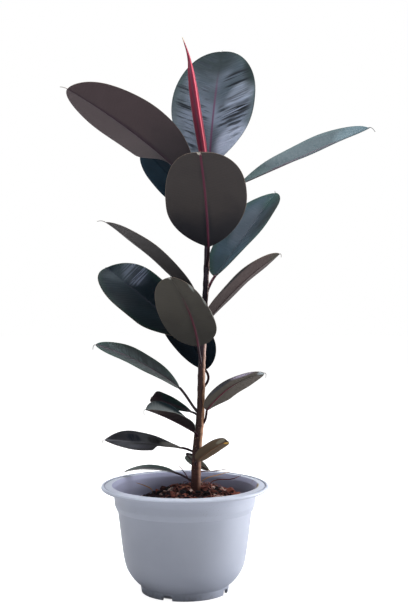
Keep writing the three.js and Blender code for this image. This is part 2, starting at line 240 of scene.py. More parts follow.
def wrap(
    mesh: BMesh, columns: int, rows: int, spot: Callable[[float, float], Spot]
) -> None:
    """Rolls a grid into a closed skin: its sides are sewn together and its ends are filled.

    Args:
        mesh: The mesh that gets the skin.
        columns: Faces around.
        rows: Faces along.
        spot: Gives the point and its marks for two shares, around and along.
    """
    place = mesh.verts.layers.float_vector["place"]
    edge = mesh.verts.layers.float["edge"]
    made = bmesh.ops.create_grid(mesh, x_segments=columns, y_segments=rows, size=0.5)["verts"]
    for vert in made:
        vert.co, vert[place], vert[edge] = spot(vert.co.x + 0.5, vert.co.y + 0.5)
    bmesh.ops.remove_doubles(mesh, verts=made, dist=WELD)
    links = {link for vert in made if vert.is_valid for link in vert.link_edges}
    ends = [link for link in links if link.is_boundary]
    bmesh.ops.holes_fill(mesh, edges=ends, sides=0)


def spin_profile(profile: Sequence[Sequence[float]], steps: int) -> BMesh:
    """Spins an outline round the pot's axis.

    Args:
        profile: Corners as radius, height and, where the corner is rounded, the rounding's reach.
        steps: Faces around.

    Returns:
        A closed mesh in the frame.
    """
    mesh = new_mesh()
    corners = []
    for corner in profile:
        vert = mesh.verts.new(in_frame(Vector((corner[0], 0, corner[1]))))
        if corners:
            mesh.edges.new((corners[-1][0], vert))
        corners.append((vert, corner[2] if len(corner) > 2 else 0))
    for vert, reach in corners:
        if reach:
            round_off(mesh, [vert], reach * MM, 3, Bevelled.CORNERS)
    bmesh.ops.spin(
        mesh,
        geom=[*mesh.verts, *mesh.edges],
        cent=POT_AXIS,
        axis=UP,
        dvec=(0, 0, 0),
        angle=TAU,
        steps=steps,
        use_merge=True,
    )
    bmesh.ops.remove_doubles(mesh, verts=mesh.verts, dist=WELD)
    return mesh


def linked(name: str, data: ID) -> Object:
    """Makes an object and links it to the scene.

    Args:
        name: The object's name.
        data: Its mesh, light or camera.

    Returns:
        The object, at the origin.
    """
    made = bpy.data.objects.new(name, data)
    bpy.context.scene.collection.objects.link(made)
    return made


def bare_object(name: str, mesh: BMesh, crease: float = 35) -> Object:
    """Turns a bmesh into an object with outward faces, smooth but for its sharp edges.

    Args:
        name: The object's name.
        mesh: Its mesh, which is used up.
        crease: The angle in degrees past which an edge stays sharp.

    Returns:
        The object, at the origin.
    """
    bmesh.ops.recalc_face_normals(mesh, faces=mesh.faces)
    for face in mesh.faces:
        face.smooth = True
    for link in mesh.edges:
        link.smooth = link.calc_face_angle(0) < math.radians(crease)
    data = bpy.data.meshes.new(name)
    mesh.to_mesh(data)
    mesh.free()
    return linked(name, data)


def carve(target: Object, tools: Sequence[Object]) -> None:
    """Cuts tools out of an object, and removes the tools.

    Args:
        target: The object.
        tools: The objects that are cut out of it.
    """
    for tool in tools:
        cut = target.modifiers.new("cut", "BOOLEAN")
        cut.operation = "DIFFERENCE"
        cut.solver = "EXACT"
        cut.object = tool
    solid = target.data
    seen = target.evaluated_get(bpy.context.evaluated_depsgraph_get())
    target.data = bpy.data.meshes.new_from_object(seen)
    target.data.name = target.name
    target.modifiers.clear()
    bpy.data.meshes.remove(solid)
    for tool in tools:
        bpy.data.objects.remove(tool)


def dress(
    made: Object,
    material: Material,
    nodes: Sequence[str] = (),
) -> Object:
    """Gives a piece its material and ties it to the frame.

    Args:
        made: The piece.
        material: Its finish.
        nodes: The CAD nodes that the piece stands for.

    Returns:
        The piece.
    """
    made.data.materials.clear()
    made.data.materials.append(material)
    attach(made, BODY)
    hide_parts(*nodes)
    return made


# ---------- shader maths ----------


class Value:
    """A number socket that adds a Math node wherever it is used in an expression."""

    def __init__(self, graph: "Graph", socket: NodeSocket) -> None:
        """Wraps a socket of a graph."""
        self.graph = graph
        self.socket = socket

    def _math(self, operation: str, *numbers: Number) -> "Value":
        """The result of one Math node on the given numbers."""
        made = self.graph.node("ShaderNodeMath", {"operation": operation}, dict(enumerate(numbers)))
        return Value(self.graph, made.outputs[0])

    def __add__(self, other: Number) -> "Value":
        """The sum."""
        return self._math("ADD", self, other)

    __radd__ = __add__

    def __sub__(self, other: Number) -> "Value":
        """This less the other."""
        return self._math("SUBTRACT", self, other)

    def __rsub__(self, other: Number) -> "Value":
        """The other less this."""
        return self._math("SUBTRACT", other, self)

    def __mul__(self, other: Number) -> "Value":
        """The product."""
        return self._math("MULTIPLY", self, other)

    __rmul__ = __mul__

    def __truediv__(self, other: Number) -> "Value":
        """This over the other."""
        return self._math("DIVIDE", self, other)

    def __pow__(self, other: float) -> "Value":
        """This to a power."""
        return self * self if other == 2 else self._math("POWER", self, other)

    def __abs__(self) -> "Value":
        """The distance from zero."""
        return self._math("ABSOLUTE", self)

    def wave(self) -> "Value":
        """A wave from 0 to 1 that peaks wherever this is a whole number."""
        return self._math("COSINE", self * TAU) * 0.5 + 0.5

    def step(self, low: float, high: float) -> "Value":
        """Turns this into 0 below low, 1 above high and a smooth step between them.

        Args:
            low: Where the step starts.
            high: Where it ends.

        Returns:
            The share of the step.
        """
        made = self.graph.node(
            "ShaderNodeMapRange",
            {"interpolation_type": "SMOOTHSTEP"},
            {"Value": self, "From Min": low, "From Max": high, "To Min": 0.0, "To Max": 1.0},
        )
        return Value(self.graph, made.outputs["Result"])


class Graph:
    """A node tree that is written as expressions."""

    def __init__(self, tree: NodeTree) -> None:
        """Empties the tree."""
        self.tree = tree
        self.tree.nodes.clear()

    def node(
        self,
        kind: str,
        settings: dict[str, object] | None = None,
        inputs: dict[str | int, object] | None = None,
    ) -> Node:
        """Adds a node.

        Args:
            kind: The node's type.
            settings: Its settings, which are set first.
            inputs: Values or links of its sockets, by name or number.

        Returns:
            The node.
        """
        made = self.tree.nodes.new(kind)
        for name, setting in (settings or {}).items():
            setattr(made, name, setting)
        for key, given in (inputs or {}).items():
            self.feed(made.inputs[key], given)
        return made

    def feed(self, socket: NodeSocket, given: object) -> None:
        """Links or sets one input.

        Args:
            socket: The input.
            given: A value or a socket to link to it, or a colour or a number to set it to.
        """
        if isinstance(given, Value):
            self.tree.links.new(given.socket, socket)
        elif isinstance(given, NodeSocket):
            self.tree.links.new(given, socket)
        else:
            socket.default_value = tone(given) if isinstance(given, str) else given

    def place(self) -> NodeSocket:
        """The object's own coordinates, in metres."""
        return self.node("ShaderNodeTexCoord").outputs["Object"]

    def stretched(self, height: float) -> NodeSocket:
        """The object's own coordinates with the height times a factor."""
        inputs = {"Vector": self.place(), "Scale": (1.0, 1.0, height)}
        return self.node("ShaderNodeMapping", inputs=inputs).outputs[0]

    def split(self, vector: NodeSocket) -> tuple[Value, Value, Value]:
        """The three numbers of a vector."""
        made = self.node("ShaderNodeSeparateXYZ", inputs={"Vector": vector})
        return tuple(Value(self, socket) for socket in made.outputs)

    def marks(self) -> tuple[Value, Value, Value]:
        """The three numbers of the place mark of the mesh."""
        made = self.node("ShaderNodeAttribute", {"attribute_name": "place"})
        return self.split(made.outputs["Vector"])

    def from_axis(self) -> tuple[Value, Value, Value, Value]:
        """Measures from the pot's axis on the floor, in metres.

        Returns:
            The ways to the right and to the back, the height and the distance from the axis.
        """
        x, y, height = self.split(self.place())
        x, y = x - POT_AXIS.x, y - POT_AXIS.y
        return x, y, height, (x * x + y * y) ** 0.5

    def edge(self) -> Value:
        """The edge distance of the mesh."""
        made = self.node("ShaderNodeAttribute", {"attribute_name": "edge"})
        return Value(self, made.outputs["Fac"])

    def seen(self) -> Value:
        """1 for what the camera sees and 0 for what lights the scene."""
        return Value(self, self.node("ShaderNodeLightPath").outputs["Is Camera Ray"])

    def vector(self, *numbers: Number) -> NodeSocket:
        """A vector of three numbers."""
        made = self.node("ShaderNodeCombineXYZ", inputs=dict(enumerate(numbers)))
        return made.outputs[0]

    def noise(
        self,
        scale: float,
        vector: NodeSocket | None = None,
        detail: float = 3,
        roughness: float = 0.5,
    ) -> Value:
        """Adds soft noise.

        Args:
            scale: Its scale per metre.
            vector: Where it is read, or None for the object's own coordinates.
            detail: How many finer layers it has.
            roughness: How strong they are.

        Returns:
            A number from 0 to 1.
        """
        inputs = {"Vector": vector or self.place(), "Scale": scale}
        inputs |= {"Detail": detail, "Roughness": roughness}
        return Value(self, self.node("ShaderNodeTexNoise", inputs=inputs).outputs["Fac"])

    def dots(self, scale: float, vector: NodeSocket | None = None) -> Value:
        """The distance to the nearest of scattered points of a scale per metre."""
        inputs = {"Vector": vector or self.place(), "Scale": scale}
        return Value(self, self.node("ShaderNodeTexVoronoi", inputs=inputs).outputs["Distance"])

    def mix(self, low: Paint, high: Paint, share: Number) -> NodeSocket:
        """The colour a share of the way from low to high."""
        made = self.node("ShaderNodeMix", {"data_type": "RGBA"}, {0: share, 6: low, 7: high})
        return made.outputs[2]

    def layers(self, base: Paint, *coats: tuple[Paint, Number]) -> NodeSocket:
        """Paints over a colour.

        Args:
            base: The colour.
            coats: The colours that go over it in order, each with its share.

        Returns:
            The result.
        """
        for colour, share in coats:
            base = self.mix(base, colour, share)
        return base

    def bump(self, height: Value, reach: float, strength: float) -> NodeSocket:
        """A bumped normal whose full height is the reach, in metres."""
        inputs = {"Height": height, "Distance": reach, "Strength": strength}
        return self.node("ShaderNodeBump", inputs=inputs).outputs["Normal"]


class Finish(Graph):
    """The node tree of one material, round one Principled shader."""

    def __init__(self, name: str) -> None:
        """Starts the material.

        Args:
            name: The material's name.
        """
        self.material = bpy.data.materials.new(name)
        self.material.use_nodes = True
        super().__init__(self.material.node_tree)
        self.shader = self.node("ShaderNodeBsdfPrincipled")
        self.node("ShaderNodeOutputMaterial", inputs={"Surface": self.shader.outputs[0]})

    def set(self, **given: object) -> None:
        """Sets or links sockets of the Principled shader. An underscore stands for a space."""
        for name, setting in given.items():
            self.feed(self.shader.inputs[name.replace("_", " ")], setting)


# ---------- pot ----------


@dataclass(frozen=True)
class MouldedPlastic:
    """The satin plastic of the pot, with a faint grain, scuffs on the foot and dust inside.

    Heights, radii and the two ends of the stain and the crack are in metres, the ends to the right
    of the pot's axis. The inside and the groove in the lip are painted darker, as painted shade.
    """

    body: Colour = "#aab0be"
    cloud: Colour = "#a0a6b5"
    # painted shade: the inside of the wall is darker and bluer
    inside: Colour = "#989bb4"
    scuff: Colour = "#8b8c92"
    dust: Colour = "#77706e"
    # painted shade along the groove in the lip
    groove: Colour = "#666b7c"
    stain: Colour = "#7d6a3e"
    roughness: float = 0.42
    scuff_top: float = 0.014
    dust_from: float = 0.11
    dust_to: float = 0.13
    lip_height: float = 0.15
    groove_radius: float = 0.1197
    edge_radius: float = 0.1085
    stain_from: float = 0.099
    stain_to: float = 0.104
    crack_from: float = 0.1
    crack_slope: float = 0.32
    grain_depth: float = 0.00012

    def material(self) -> Material:
        """Builds the material. The edge mark is 1 on the inside of the wall, which gets painted
        shade.

        Returns:
            The material.
        """
        graph = Finish("moulded_plastic")
        x, y, height, radius = graph.from_axis()
        # the inside of the wall, which is painted darker and bluer as painted shade
        inside = graph.edge()
        cloud = graph.noise(9, detail=4)
        foot = (1 - height.step(0.0, self.scuff_top)) * graph.noise(160, detail=5).step(0.48, 0.62)
        specks = graph.dots(420).step(0.1, 0.24)
        dusty = height.step(self.dust_from, self.dust_to) * graph.noise(30).step(0.52, 0.6)
        lip = height.step(self.lip_height - 0.001, self.lip_height + 0.001)
        # painted shade: the groove in the lip is darker
        groove = (1 - abs(radius - self.groove_radius).step(0.0004, 0.0016)) * lip
        stained = (1 - abs(radius - self.edge_radius).step(0.0008, 0.0028)) * lip
        stained = stained * x.step(self.stain_from, self.stain_to) * (1 - y.step(-0.002, 0.012))
        stained = stained * graph.noise(420).step(0.25, 0.45)
        wander = (graph.noise(260) - 0.5) * 0.004
        crack = (1 - abs(y - x * self.crack_slope + wander).step(0.0006, 0.003)) * lip
        crack = crack * x.step(self.crack_from, self.crack_from + 0.002)
        colour = graph.layers(
            self.body,
            (self.cloud, cloud.step(0.35, 0.7)),
            # painted shade: a darker, bluer inside
            (self.inside, inside),
            (self.scuff, foot * 0.5),
            (self.dust, (1 - specks) * dusty * 0.35),
            (self.groove, groove * 0.85),
            (self.stain, stained * 0.85 + crack * 0.3),
        )
        grain = graph.noise(1500, detail=2)
        flow = graph.noise(30, graph.stretched(7.0), detail=2)
        graph.set(
            Base_Color=colour,
            Roughness=self.roughness + (cloud - 0.5) * 0.12 + foot * 0.2 + inside * 0.35,
            Normal=graph.bump(grain * 0.35 + flow * 0.65, self.grain_depth, 0.5),
            Specular_IOR_Level=0.45,
        )
        return graph.material


@dataclass
class PlantPot:
    """The round pot: a foot ring with four notches, a bowl, a stepped band and a broad flat lip.

    The bowl's points are radius and height. Those of the band and the lip have the reach of their
    rounding as well. Angles are in degrees from the front towards the right.
    """

    steps: int = 176
    bowl_rows: int = 30
    foot_inside: float = 61
    foot_outside: float = 64.5
    foot_top: Triple = (66, 10.6, 0.4)
    floor_bottom: float = 8
    floor_top: float = 10.8
    floor_rounding: float = 1.5
    wall: float = 2.6
    inside_lift: float = 0.4  # of the wall, how much higher the inside's corners are
    inside_rounding: float = 0.9
    inside_depth: float = 1  # how far in from the outside counts as inside
    lip_overhang: float = 1.5
    notch_width: float = 15
    notch_height: float = 7.5
    notch_depth: float = 20
    notch_corner: float = 3
    notch_angles: tuple[float, ...] = (-22, 68, 158, 248)
    drain_radius: float = 6
    drain_ring: float = 38
    drain_turn: float = 45  # from a notch to the next drain hole
    drain_depth: float = 20
    drain_sides: int = 40
    tilt_from: float = 131
    tilt_to: float = 150
    rim_lift: float = 1.1
    rim_tilt: float = 0.026
    bowl: tuple[Pair, ...] = (
        (66.4, 11.4), (73.7, 17.5), (81.1, 26.4), (86.3, 35.4), (89.3, 44.3), (93, 66), (96.4, 93),
        (99.8, 120.4),
    )
    band: tuple[Triple, ...] = (
        (100.9, 120.9, 0.35), (104.5, 128.6, 1.4), (105.3, 139, 0.8), (107.6, 149.4, 1.2),
    )
    lip: tuple[Triple, ...] = (
        (119.6, 150.9, 0.6), (123.6, 151.8, 0.9), (125, 154.2, 0.8), (123.6, 156.8, 0.7),
        (121, 156.9, 0.5), (119.7, 154.8, 0.3), (118.4, 156.2, 0.4), (109.2, 157.3, 0.6),
        (108.3, 156.2, 0.5),
    )

    def outside(self) -> list[Pair]:
        """The outside of the wall from the foot up to the lip."""
        return [*self.bowl, *((radius, height) for radius, height, _ in self.band)]

    def inside(self) -> list[Pair]:
        """The inside of the wall from the lip down to the floor: the outside moved in."""
        lift = self.wall * self.inside_lift
        return [(radius - self.wall, height + lift) for radius, height in self.outside()[:0:-1]]

    def radius_at(self, height: float) -> float:
        """Measures the outside of the wall.

        Args:
            height: The height to measure at.

        Returns:
            The radius there, and one within the lip for a height above the band.
        """
        outside = self.outside()
        for (low, bottom), (high, top) in zip(outside, outside[1:]):
            if height <= top:
                return blend(low, high, (height - bottom) / (top - bottom))
        return self.lip[-1][0] + self.lip_overhang

    def smooth(self, points: Sequence[Pair]) -> list[Pair]:
        """A smooth line of radius and height through some points, in the bowl's number of rows."""
        curve = SmoothLine([(radius, height, 0) for radius, height in points])
        return [tuple(curve.at(row / self.bowl_rows))[:2] for row in range(self.bowl_rows + 1)]

    def profile(self) -> list[tuple[float, ...]]:
        """Draws the outline, from the underside's middle round the outside to the floor's middle.

        Returns:
            Its corners as radius, height and, where they are rounded, the rounding's reach.
        """
        inside = self.inside()
        steps = len(self.band)
        return [
            (0, self.floor_bottom),
            (self.foot_inside, self.floor_bottom, 0.5),
            (self.foot_inside, 0, 0.4),
            (self.foot_outside, 0, 0.5),
            self.foot_top,
            *self.smooth(self.bowl),
            *self.band,
            *self.lip,
            *((radius, height, self.inside_rounding) for radius, height in inside[:steps]),
            *self.smooth(inside[steps:]),
            (self.foot_inside, self.floor_top, self.floor_rounding),
            (0, self.floor_top),
        ]

    def notch(self, angle: float) -> Object:
        """Makes the room of one notch in the foot ring.

        Args:
            angle: The notch's angle.

        Returns:
            A block with its upper corners rounded.
        """
        mesh = new_mesh()
        size = Matrix.Diagonal((self.notch_width, self.notch_depth, 2 * self.notch_height, 1))
        bmesh.ops.create_cube(mesh, size=1, matrix=size)
        upper = [link for link in mesh.edges if min(vert.co.z for vert in link.verts) > 0]
        corners = [link for link in upper if abs(link.verts[0].co.x - link.verts[1].co.x) < 1]
        round_off(mesh, corners, self.notch_corner, 5)
        turn = Matrix.Rotation(math.radians(angle), 4, "Z")
        move = turn @ Matrix.Translation((0, -self.foot_outside, 0))
        for vert in mesh.verts:
            vert.co = in_frame(move @ vert.co)
        return bare_object("notch_tool", mesh)

    def drain(self, reach: float, angle: float) -> Object:
        """Makes the room of one drain hole.

        Args:
            reach: The hole's distance from the pot's axis.
            angle: Its angle.

        Returns:
            A cylinder through the floor.
        """
        mesh = new_mesh()
        bmesh.ops.create_cone(
            mesh,
            cap_ends=True,
            segments=self.drain_sides,
            radius1=self.drain_radius,
            radius2=self.drain_radius,
            depth=self.drain_depth,
        )
        turn = math.radians(angle)
        middle = Vector((reach * math.sin(turn), -reach * math.cos(turn), self.floor_top))
        for vert in mesh.verts:
            vert.co = in_frame(vert.co + middle)
        return bare_object("drain_tool", mesh)

    def build(self) -> list[Object]:
        """Spins the pot, tilts its rim, and cuts its notches and drain holes.

        Returns:
            The pot.
        """
        mesh = spin_profile(self.profile(), self.steps)
        mark = mesh.verts.layers.float["edge"]
        for vert in mesh.verts:
            local = (vert.co - POT_AXIS) / MM
            share = ease(local.z, self.tilt_from, self.tilt_to)
            vert.co.z += (self.rim_lift + self.rim_tilt * local.y) * share * MM
            wall = self.radius_at(local.z) - self.inside_depth
            # marks the inside of the wall, which the finish paints darker as painted shade
            vert[mark] = local.z > self.floor_top and local.xy.length < wall
        pot = bare_object("plant_pot", mesh)
        tools = [self.notch(angle) for angle in self.notch_angles]
        for angle in self.notch_angles:
            tools.append(self.drain(self.drain_ring, angle + self.drain_turn))
        carve(pot, [*tools, self.drain(0, 0)])
        return [dress(pot, MouldedPlastic().material(), ["pot"])]


# ---------- stem ----------


@dataclass(frozen=True)
class YoungBark:
    """The stem's skin: tan bark with cracks and pale pores below, smooth dark purple above.

    Each pair of heights says where a part of the stem starts to change and has changed, in metres.
    The bark is painted lighter on its right side and darker on its left and lower down, as painted
    light and painted shade, and the smooth part has a painted highlight down its right side.
    """

    # painted light and shade: tan on the right side, brown on the left, over the bark's own mottle
    tan_bark_and_light: Colour = "#a5795a"
    dark_bark_and_shade: Colour = "#3f2620"
    green: Colour = "#2c1f2e"
    base: Colour = "#5c362c"
    # painted highlight down the right side of the smooth part
    painted_highlight: Colour = "#c4a49c"
    pore: Colour = "#b08c72"
    scar: Colour = "#2a1813"
    base_heights: Pair = (0.165, 0.215)
    shade_heights: Pair = (0.2, 0.26)
    young_heights: Pair = (0.27, 0.42)
    crack_depth: float = 0.0005

    def material(self) -> Material:
        """Builds the material.

        The place mark holds the side in its first number, and the edge mark the distance to the
        nearest leaf scar.

        Returns:
            The material.
        """
        graph = Finish("young_bark")
        height = graph.split(graph.place())[2]
        streaks = graph.noise(260, graph.stretched(0.12), detail=5, roughness=0.65)
        patches = graph.noise(55, detail=3)
        # the side facing right, which is painted lighter as painted light, mixed with the bark's
        # streaks and patches
        sunny = graph.marks()[0] * 0.45 + streaks * 0.3 + patches * 0.3
        # painted shade lower down the stem
        shaded = (1 - height.step(*self.shade_heights)) * 0.08
        # The tan on the right side is painted light and the brown on the left painted shade, over
        # the bark's own streaks and patches.
        bark = graph.mix(self.dark_bark_and_shade, self.tan_bark_and_light, (sunny - shaded).step(0.38, 0.56))
        # a painted highlight down the right side of the smooth young part
        smooth = graph.mix(self.green, self.painted_highlight, sunny.step(0.52, 0.64) * 0.75)
        young = (height + (patches - 0.5) * 0.06).step(*self.young_heights)
        base = 1 - (height + (patches - 0.5) * 0.03).step(*self.base_heights)
        pores = 1 - graph.dots(330, graph.stretched(0.55)).step(0.12, 0.22)
        scar = 1 - graph.edge().step(0.3, 1.5)
        colour = graph.layers(
            bark,
            (smooth, young),
            (self.base, base * 0.75),
            (self.pore, pores * (1 - young * 0.7) * 0.55),
            (self.scar, scar * 0.4),
        )
        cracks = graph.noise(700, graph.stretched(0.2), detail=4)
        relief = cracks * 0.4 + streaks * 0.6 + pores * 0.4
        graph.set(
            Base_Color=colour,
            Roughness=0.72 - young * 0.22 + (streaks - 0.5) * 0.2,
            Normal=graph.bump(relief, self.crack_depth, 0.6),
            Specular_IOR_Level=0.35,
        )
        return graph.material


@dataclass
class Stem:
    """The upright stem, with a swelling and a ring scar wherever a leaf leaves or has left it.

    The radii are spaced evenly along the line. The bare nodes are the heights of the scars that
    carry no leaf any more.
    """

    line: tuple[Triple, ...] = (
        (15, 0, 92), (16, 0, 150), (18, 0, 209), (23, 0, 261), (25, 0, 333), (30, 0, 431),
        (32, 0, 478), (33, 0, 510), (33, 1, 570), (31, 2, 626),
    )
    radii: tuple[float, ...] = (7.2, 7.4, 6.8, 6.1, 5.4, 4.4, 4.4, 4.1, 4.2, 4.6)
    bare_nodes: tuple[float, ...] = (166, 174, 190, 213, 233, 281, 318, 348, 420, 458, 505, 552)
    swell: float = 0.45
    swell_reach: float = 4.5
    groove: float = 0.22
    groove_reach: float = 0.8
    ring_tilt: float = 1.2
    lump: float = 0.25
    lump_turns: float = 1.3
    lump_rise: float = 0.08
    inset: float = 0.2
    columns: int = 40
    rows: int = 420
    curve: SmoothLine = field(init=False)

    def __post_init__(self) -> None:
        """Makes the centre line."""
        self.curve = SmoothLine(self.line)

    @property
    def foot(self) -> Vector:
        """The point where the stem leaves the potting mix."""
        return Vector(self.line[1])

    def at(self, height: float) -> Vector:
        """Follows the centre line.

        Args:
            height: A height between its ends.

        Returns:
            The point at that height.
        """
        above = next(place for place, point in enumerate(self.line) if point[2] > height)
        low, high = self.line[above - 1][2], self.line[above][2]
        return self.curve.at((above - 1 + (height - low) / (high - low)) / (len(self.line) - 1))

    def skin(self, nodes: Sequence[float]) -> BMesh:
        """Wraps the stem's skin round its centre line.

        Args:
            nodes: The heights of its swellings and rings.

        Returns:
            The mesh.
        """

        def spot(around: float, along: float) -> Spot:
            """Gives one point of the skin.

            Args:
                around: The share of the way round.
                along: The share of the way along.

            Returns:
                The point, its place mark and its edge distance.
            """
            centre = self.curve.at(along)
            angle = around * TAU
            nearest = min(nodes, key=lambda node: abs(node - centre.z))
            off = centre.z - nearest + self.ring_tilt * math.cos(angle - centre.z)
            swelling = self.swell * math.exp(-((off / self.swell_reach) ** 2))
            cut = self.groove * math.exp(-((off / self.groove_reach) ** 2))
            turn = Vector((math.cos(angle), math.sin(angle), 0))
            place = Vector((*(turn.xy * self.lump_turns), centre.z * self.lump_rise))
            lumps = self.lump * noise.noise(place)
            radius = stepped(self.radii, along) + swelling - cut + lumps - self.inset
            return in_frame(centre + turn * radius), Vector((turn.x, turn.y, centre.z)), abs(off)

        mesh = new_mesh()
        wrap(mesh, self.columns, self.rows, spot)
        return mesh

    def build(self, leaf_nodes: Sequence[float]) -> list[Object]:
        """Builds the stem.

        Args:
            leaf_nodes: The heights at which the leaves leave the stem.

        Returns:
            The stem.
        """
        stem = bare_object("plant_stem", self.skin([*leaf_nodes, *self.bare_nodes]), crease=60)
        return [dress(stem, YoungBark().material(), ["stem"])]


# ---------- bud sheath ----------


@dataclass(frozen=True)
class SheathSkin:
    """The waxy crimson skin of the bud sheath, with a dark band down its middle and a pale tip."""

    crimson: Colour = "#7c1c36"
    # painted highlight down the right side
    rose_highlight: Colour = "#ea7684"
    wine: Colour = "#4a1028"
    pale: Colour = "#d8c9a4"
    foot: Colour = "#7c2a3a"
    band_side: float = -0.12
    fibre_depth: float = 0.0003

    def material(self) -> Material:
        """Builds the material.

        The place mark holds the side, the way to the back and the way along.

        Returns:
            The material.
        """
        graph = Finish("sheath_skin")
        side, back, along = graph.marks()
        fibres = graph.noise(900, graph.stretched(0.05), detail=3)
        # painted highlight down the right side of the sheath
        lit = side.step(0.4, 0.56) * (1 - side.step(0.62, 0.84) * 0.8)
        band = (1 - abs(side - self.band_side).step(0.1, 0.5)) * (0 - back).step(-0.2, 0.4)
        colour = graph.layers(
            self.crimson,
            (self.rose_highlight, lit),
            (self.wine, band * (1 - along.step(0.75, 0.95)) * 0.75),
            # painted shade: the back of the sheath is darker
            (self.wine, back.step(0.3, 0.9) * 0.5),
            (self.foot, (1 - along.step(0.0, 0.12)) * 0.6),
            (self.pale, along.step(0.94, 1.0) * 0.9),
            (self.wine, fibres.step(0.5, 0.75) * 0.25),
        )
        graph.set(
            Base_Color=colour,
            Roughness=0.36 + fibres * 0.16,
            Normal=graph.bump(fibres, self.fibre_depth, 0.5),
            Specular_IOR_Level=0.45,
            Coat_Weight=0.15,
            Coat_Roughness=0.25,
        )
        return graph.material


@dataclass
class BudSheath:
    """The pointed sheath rolled round the next leaf, with the keel of its overlapping edge.

    The keel starts at a share of the way round, and it falls off and rises at the given rates per
    turn. The flutes are shallow ridges along the sheath.
    """

    line: tuple[Triple, ...] = (
        (30.9, 2, 626.4), (28.6, 1.6, 641), (24.5, 1, 668), (19, 0, 702), (13, 0, 743),
        (9.4, 0, 770), (7, 0, 788), (3.5, -0.5, 803), (-4, -1, 825),
    )
    radii: tuple[float, ...] = (4.8, 6.2, 7.2, 7.5, 7.0, 5.4, 3.0, 1.7, 0.5)
    keel: float = 0.5
    keel_start: float = 0.62
    keel_turns: float = 0.35
    keel_fall: float = 9
    keel_rise: float = 60
    keel_share: float = 0.1  # of the radius, the most that the keel stands out
    flutes: int = 5
    flute: float = 0.03
    flute_twist: float = 3
    inset: float = 0.2
    columns: int = 48
    rows: int = 150

    def build(self) -> list[Object]:
        """Wraps the sheath round its centre line.

        Returns:
            The sheath.
        """
        curve = SmoothLine(self.line)
        mesh = new_mesh()

        def spot(around: float, along: float) -> Spot:
            """Gives one point of the skin.

            Args:
                around: The share of the way round.
                along: The share of the way along.

            Returns:
                The point, its place mark and its edge distance.
            """
            angle = around * TAU
            turn = Vector((math.cos(angle), math.sin(angle), 0))
            overlap = (around - self.keel_start - self.keel_turns * along) % 1
            lift = max(0.0, 1 - overlap * self.keel_fall) * min(1.0, overlap * self.keel_rise)
            flutes = self.flute * math.cos(angle * self.flutes + along * self.flute_twist)
            radius = stepped(self.radii, along)
            grown = radius * (1 + flutes) + min(self.keel * lift, radius * self.keel_share)
            grown -= self.inset * min(1.0, radius / 3)
            return in_frame(curve.at(along) + turn * grown), Vector((turn.x, turn.y, along)), grown

        wrap(mesh, self.columns, self.rows, spot)
        sheath = bare_object("crimson_sheath", mesh, crease=70)
        return [dress(sheath, SheathSkin().material(), ["bud_sheath"])]


# ---------- leaves ----------


@dataclass(frozen=True)
class TintOrPaintedLight:
    """A soft patch of another colour on one face of a blade, drawn out along the side veins.

    along says where its vein leaves the midrib and out how far it is from there, negative on the
    left half. length and width are its reach. Lengths are in millimetres. matte takes the gloss
    away and streaks breaks the patch up into thin lines along the side veins. Some patches are the
    leaf's own colours, and others are painted sheen, painted highlights or painted shade.
    """

    colour: Colour
    along: float
    out: float
    length: float
    width: float
    strength: float = 0.8
    matte: float = 0.0
    streaks: float = 0.0

    def spread(self, course: Value, out: Value) -> Value:
        """How strongly it shows at a place, given by its side vein and its way out."""
        away = ((course - self.along) / self.length) ** 2 + ((out - self.out) / self.width) ** 2
        return (1 - away.step(0.2, 1.0)) * self.strength


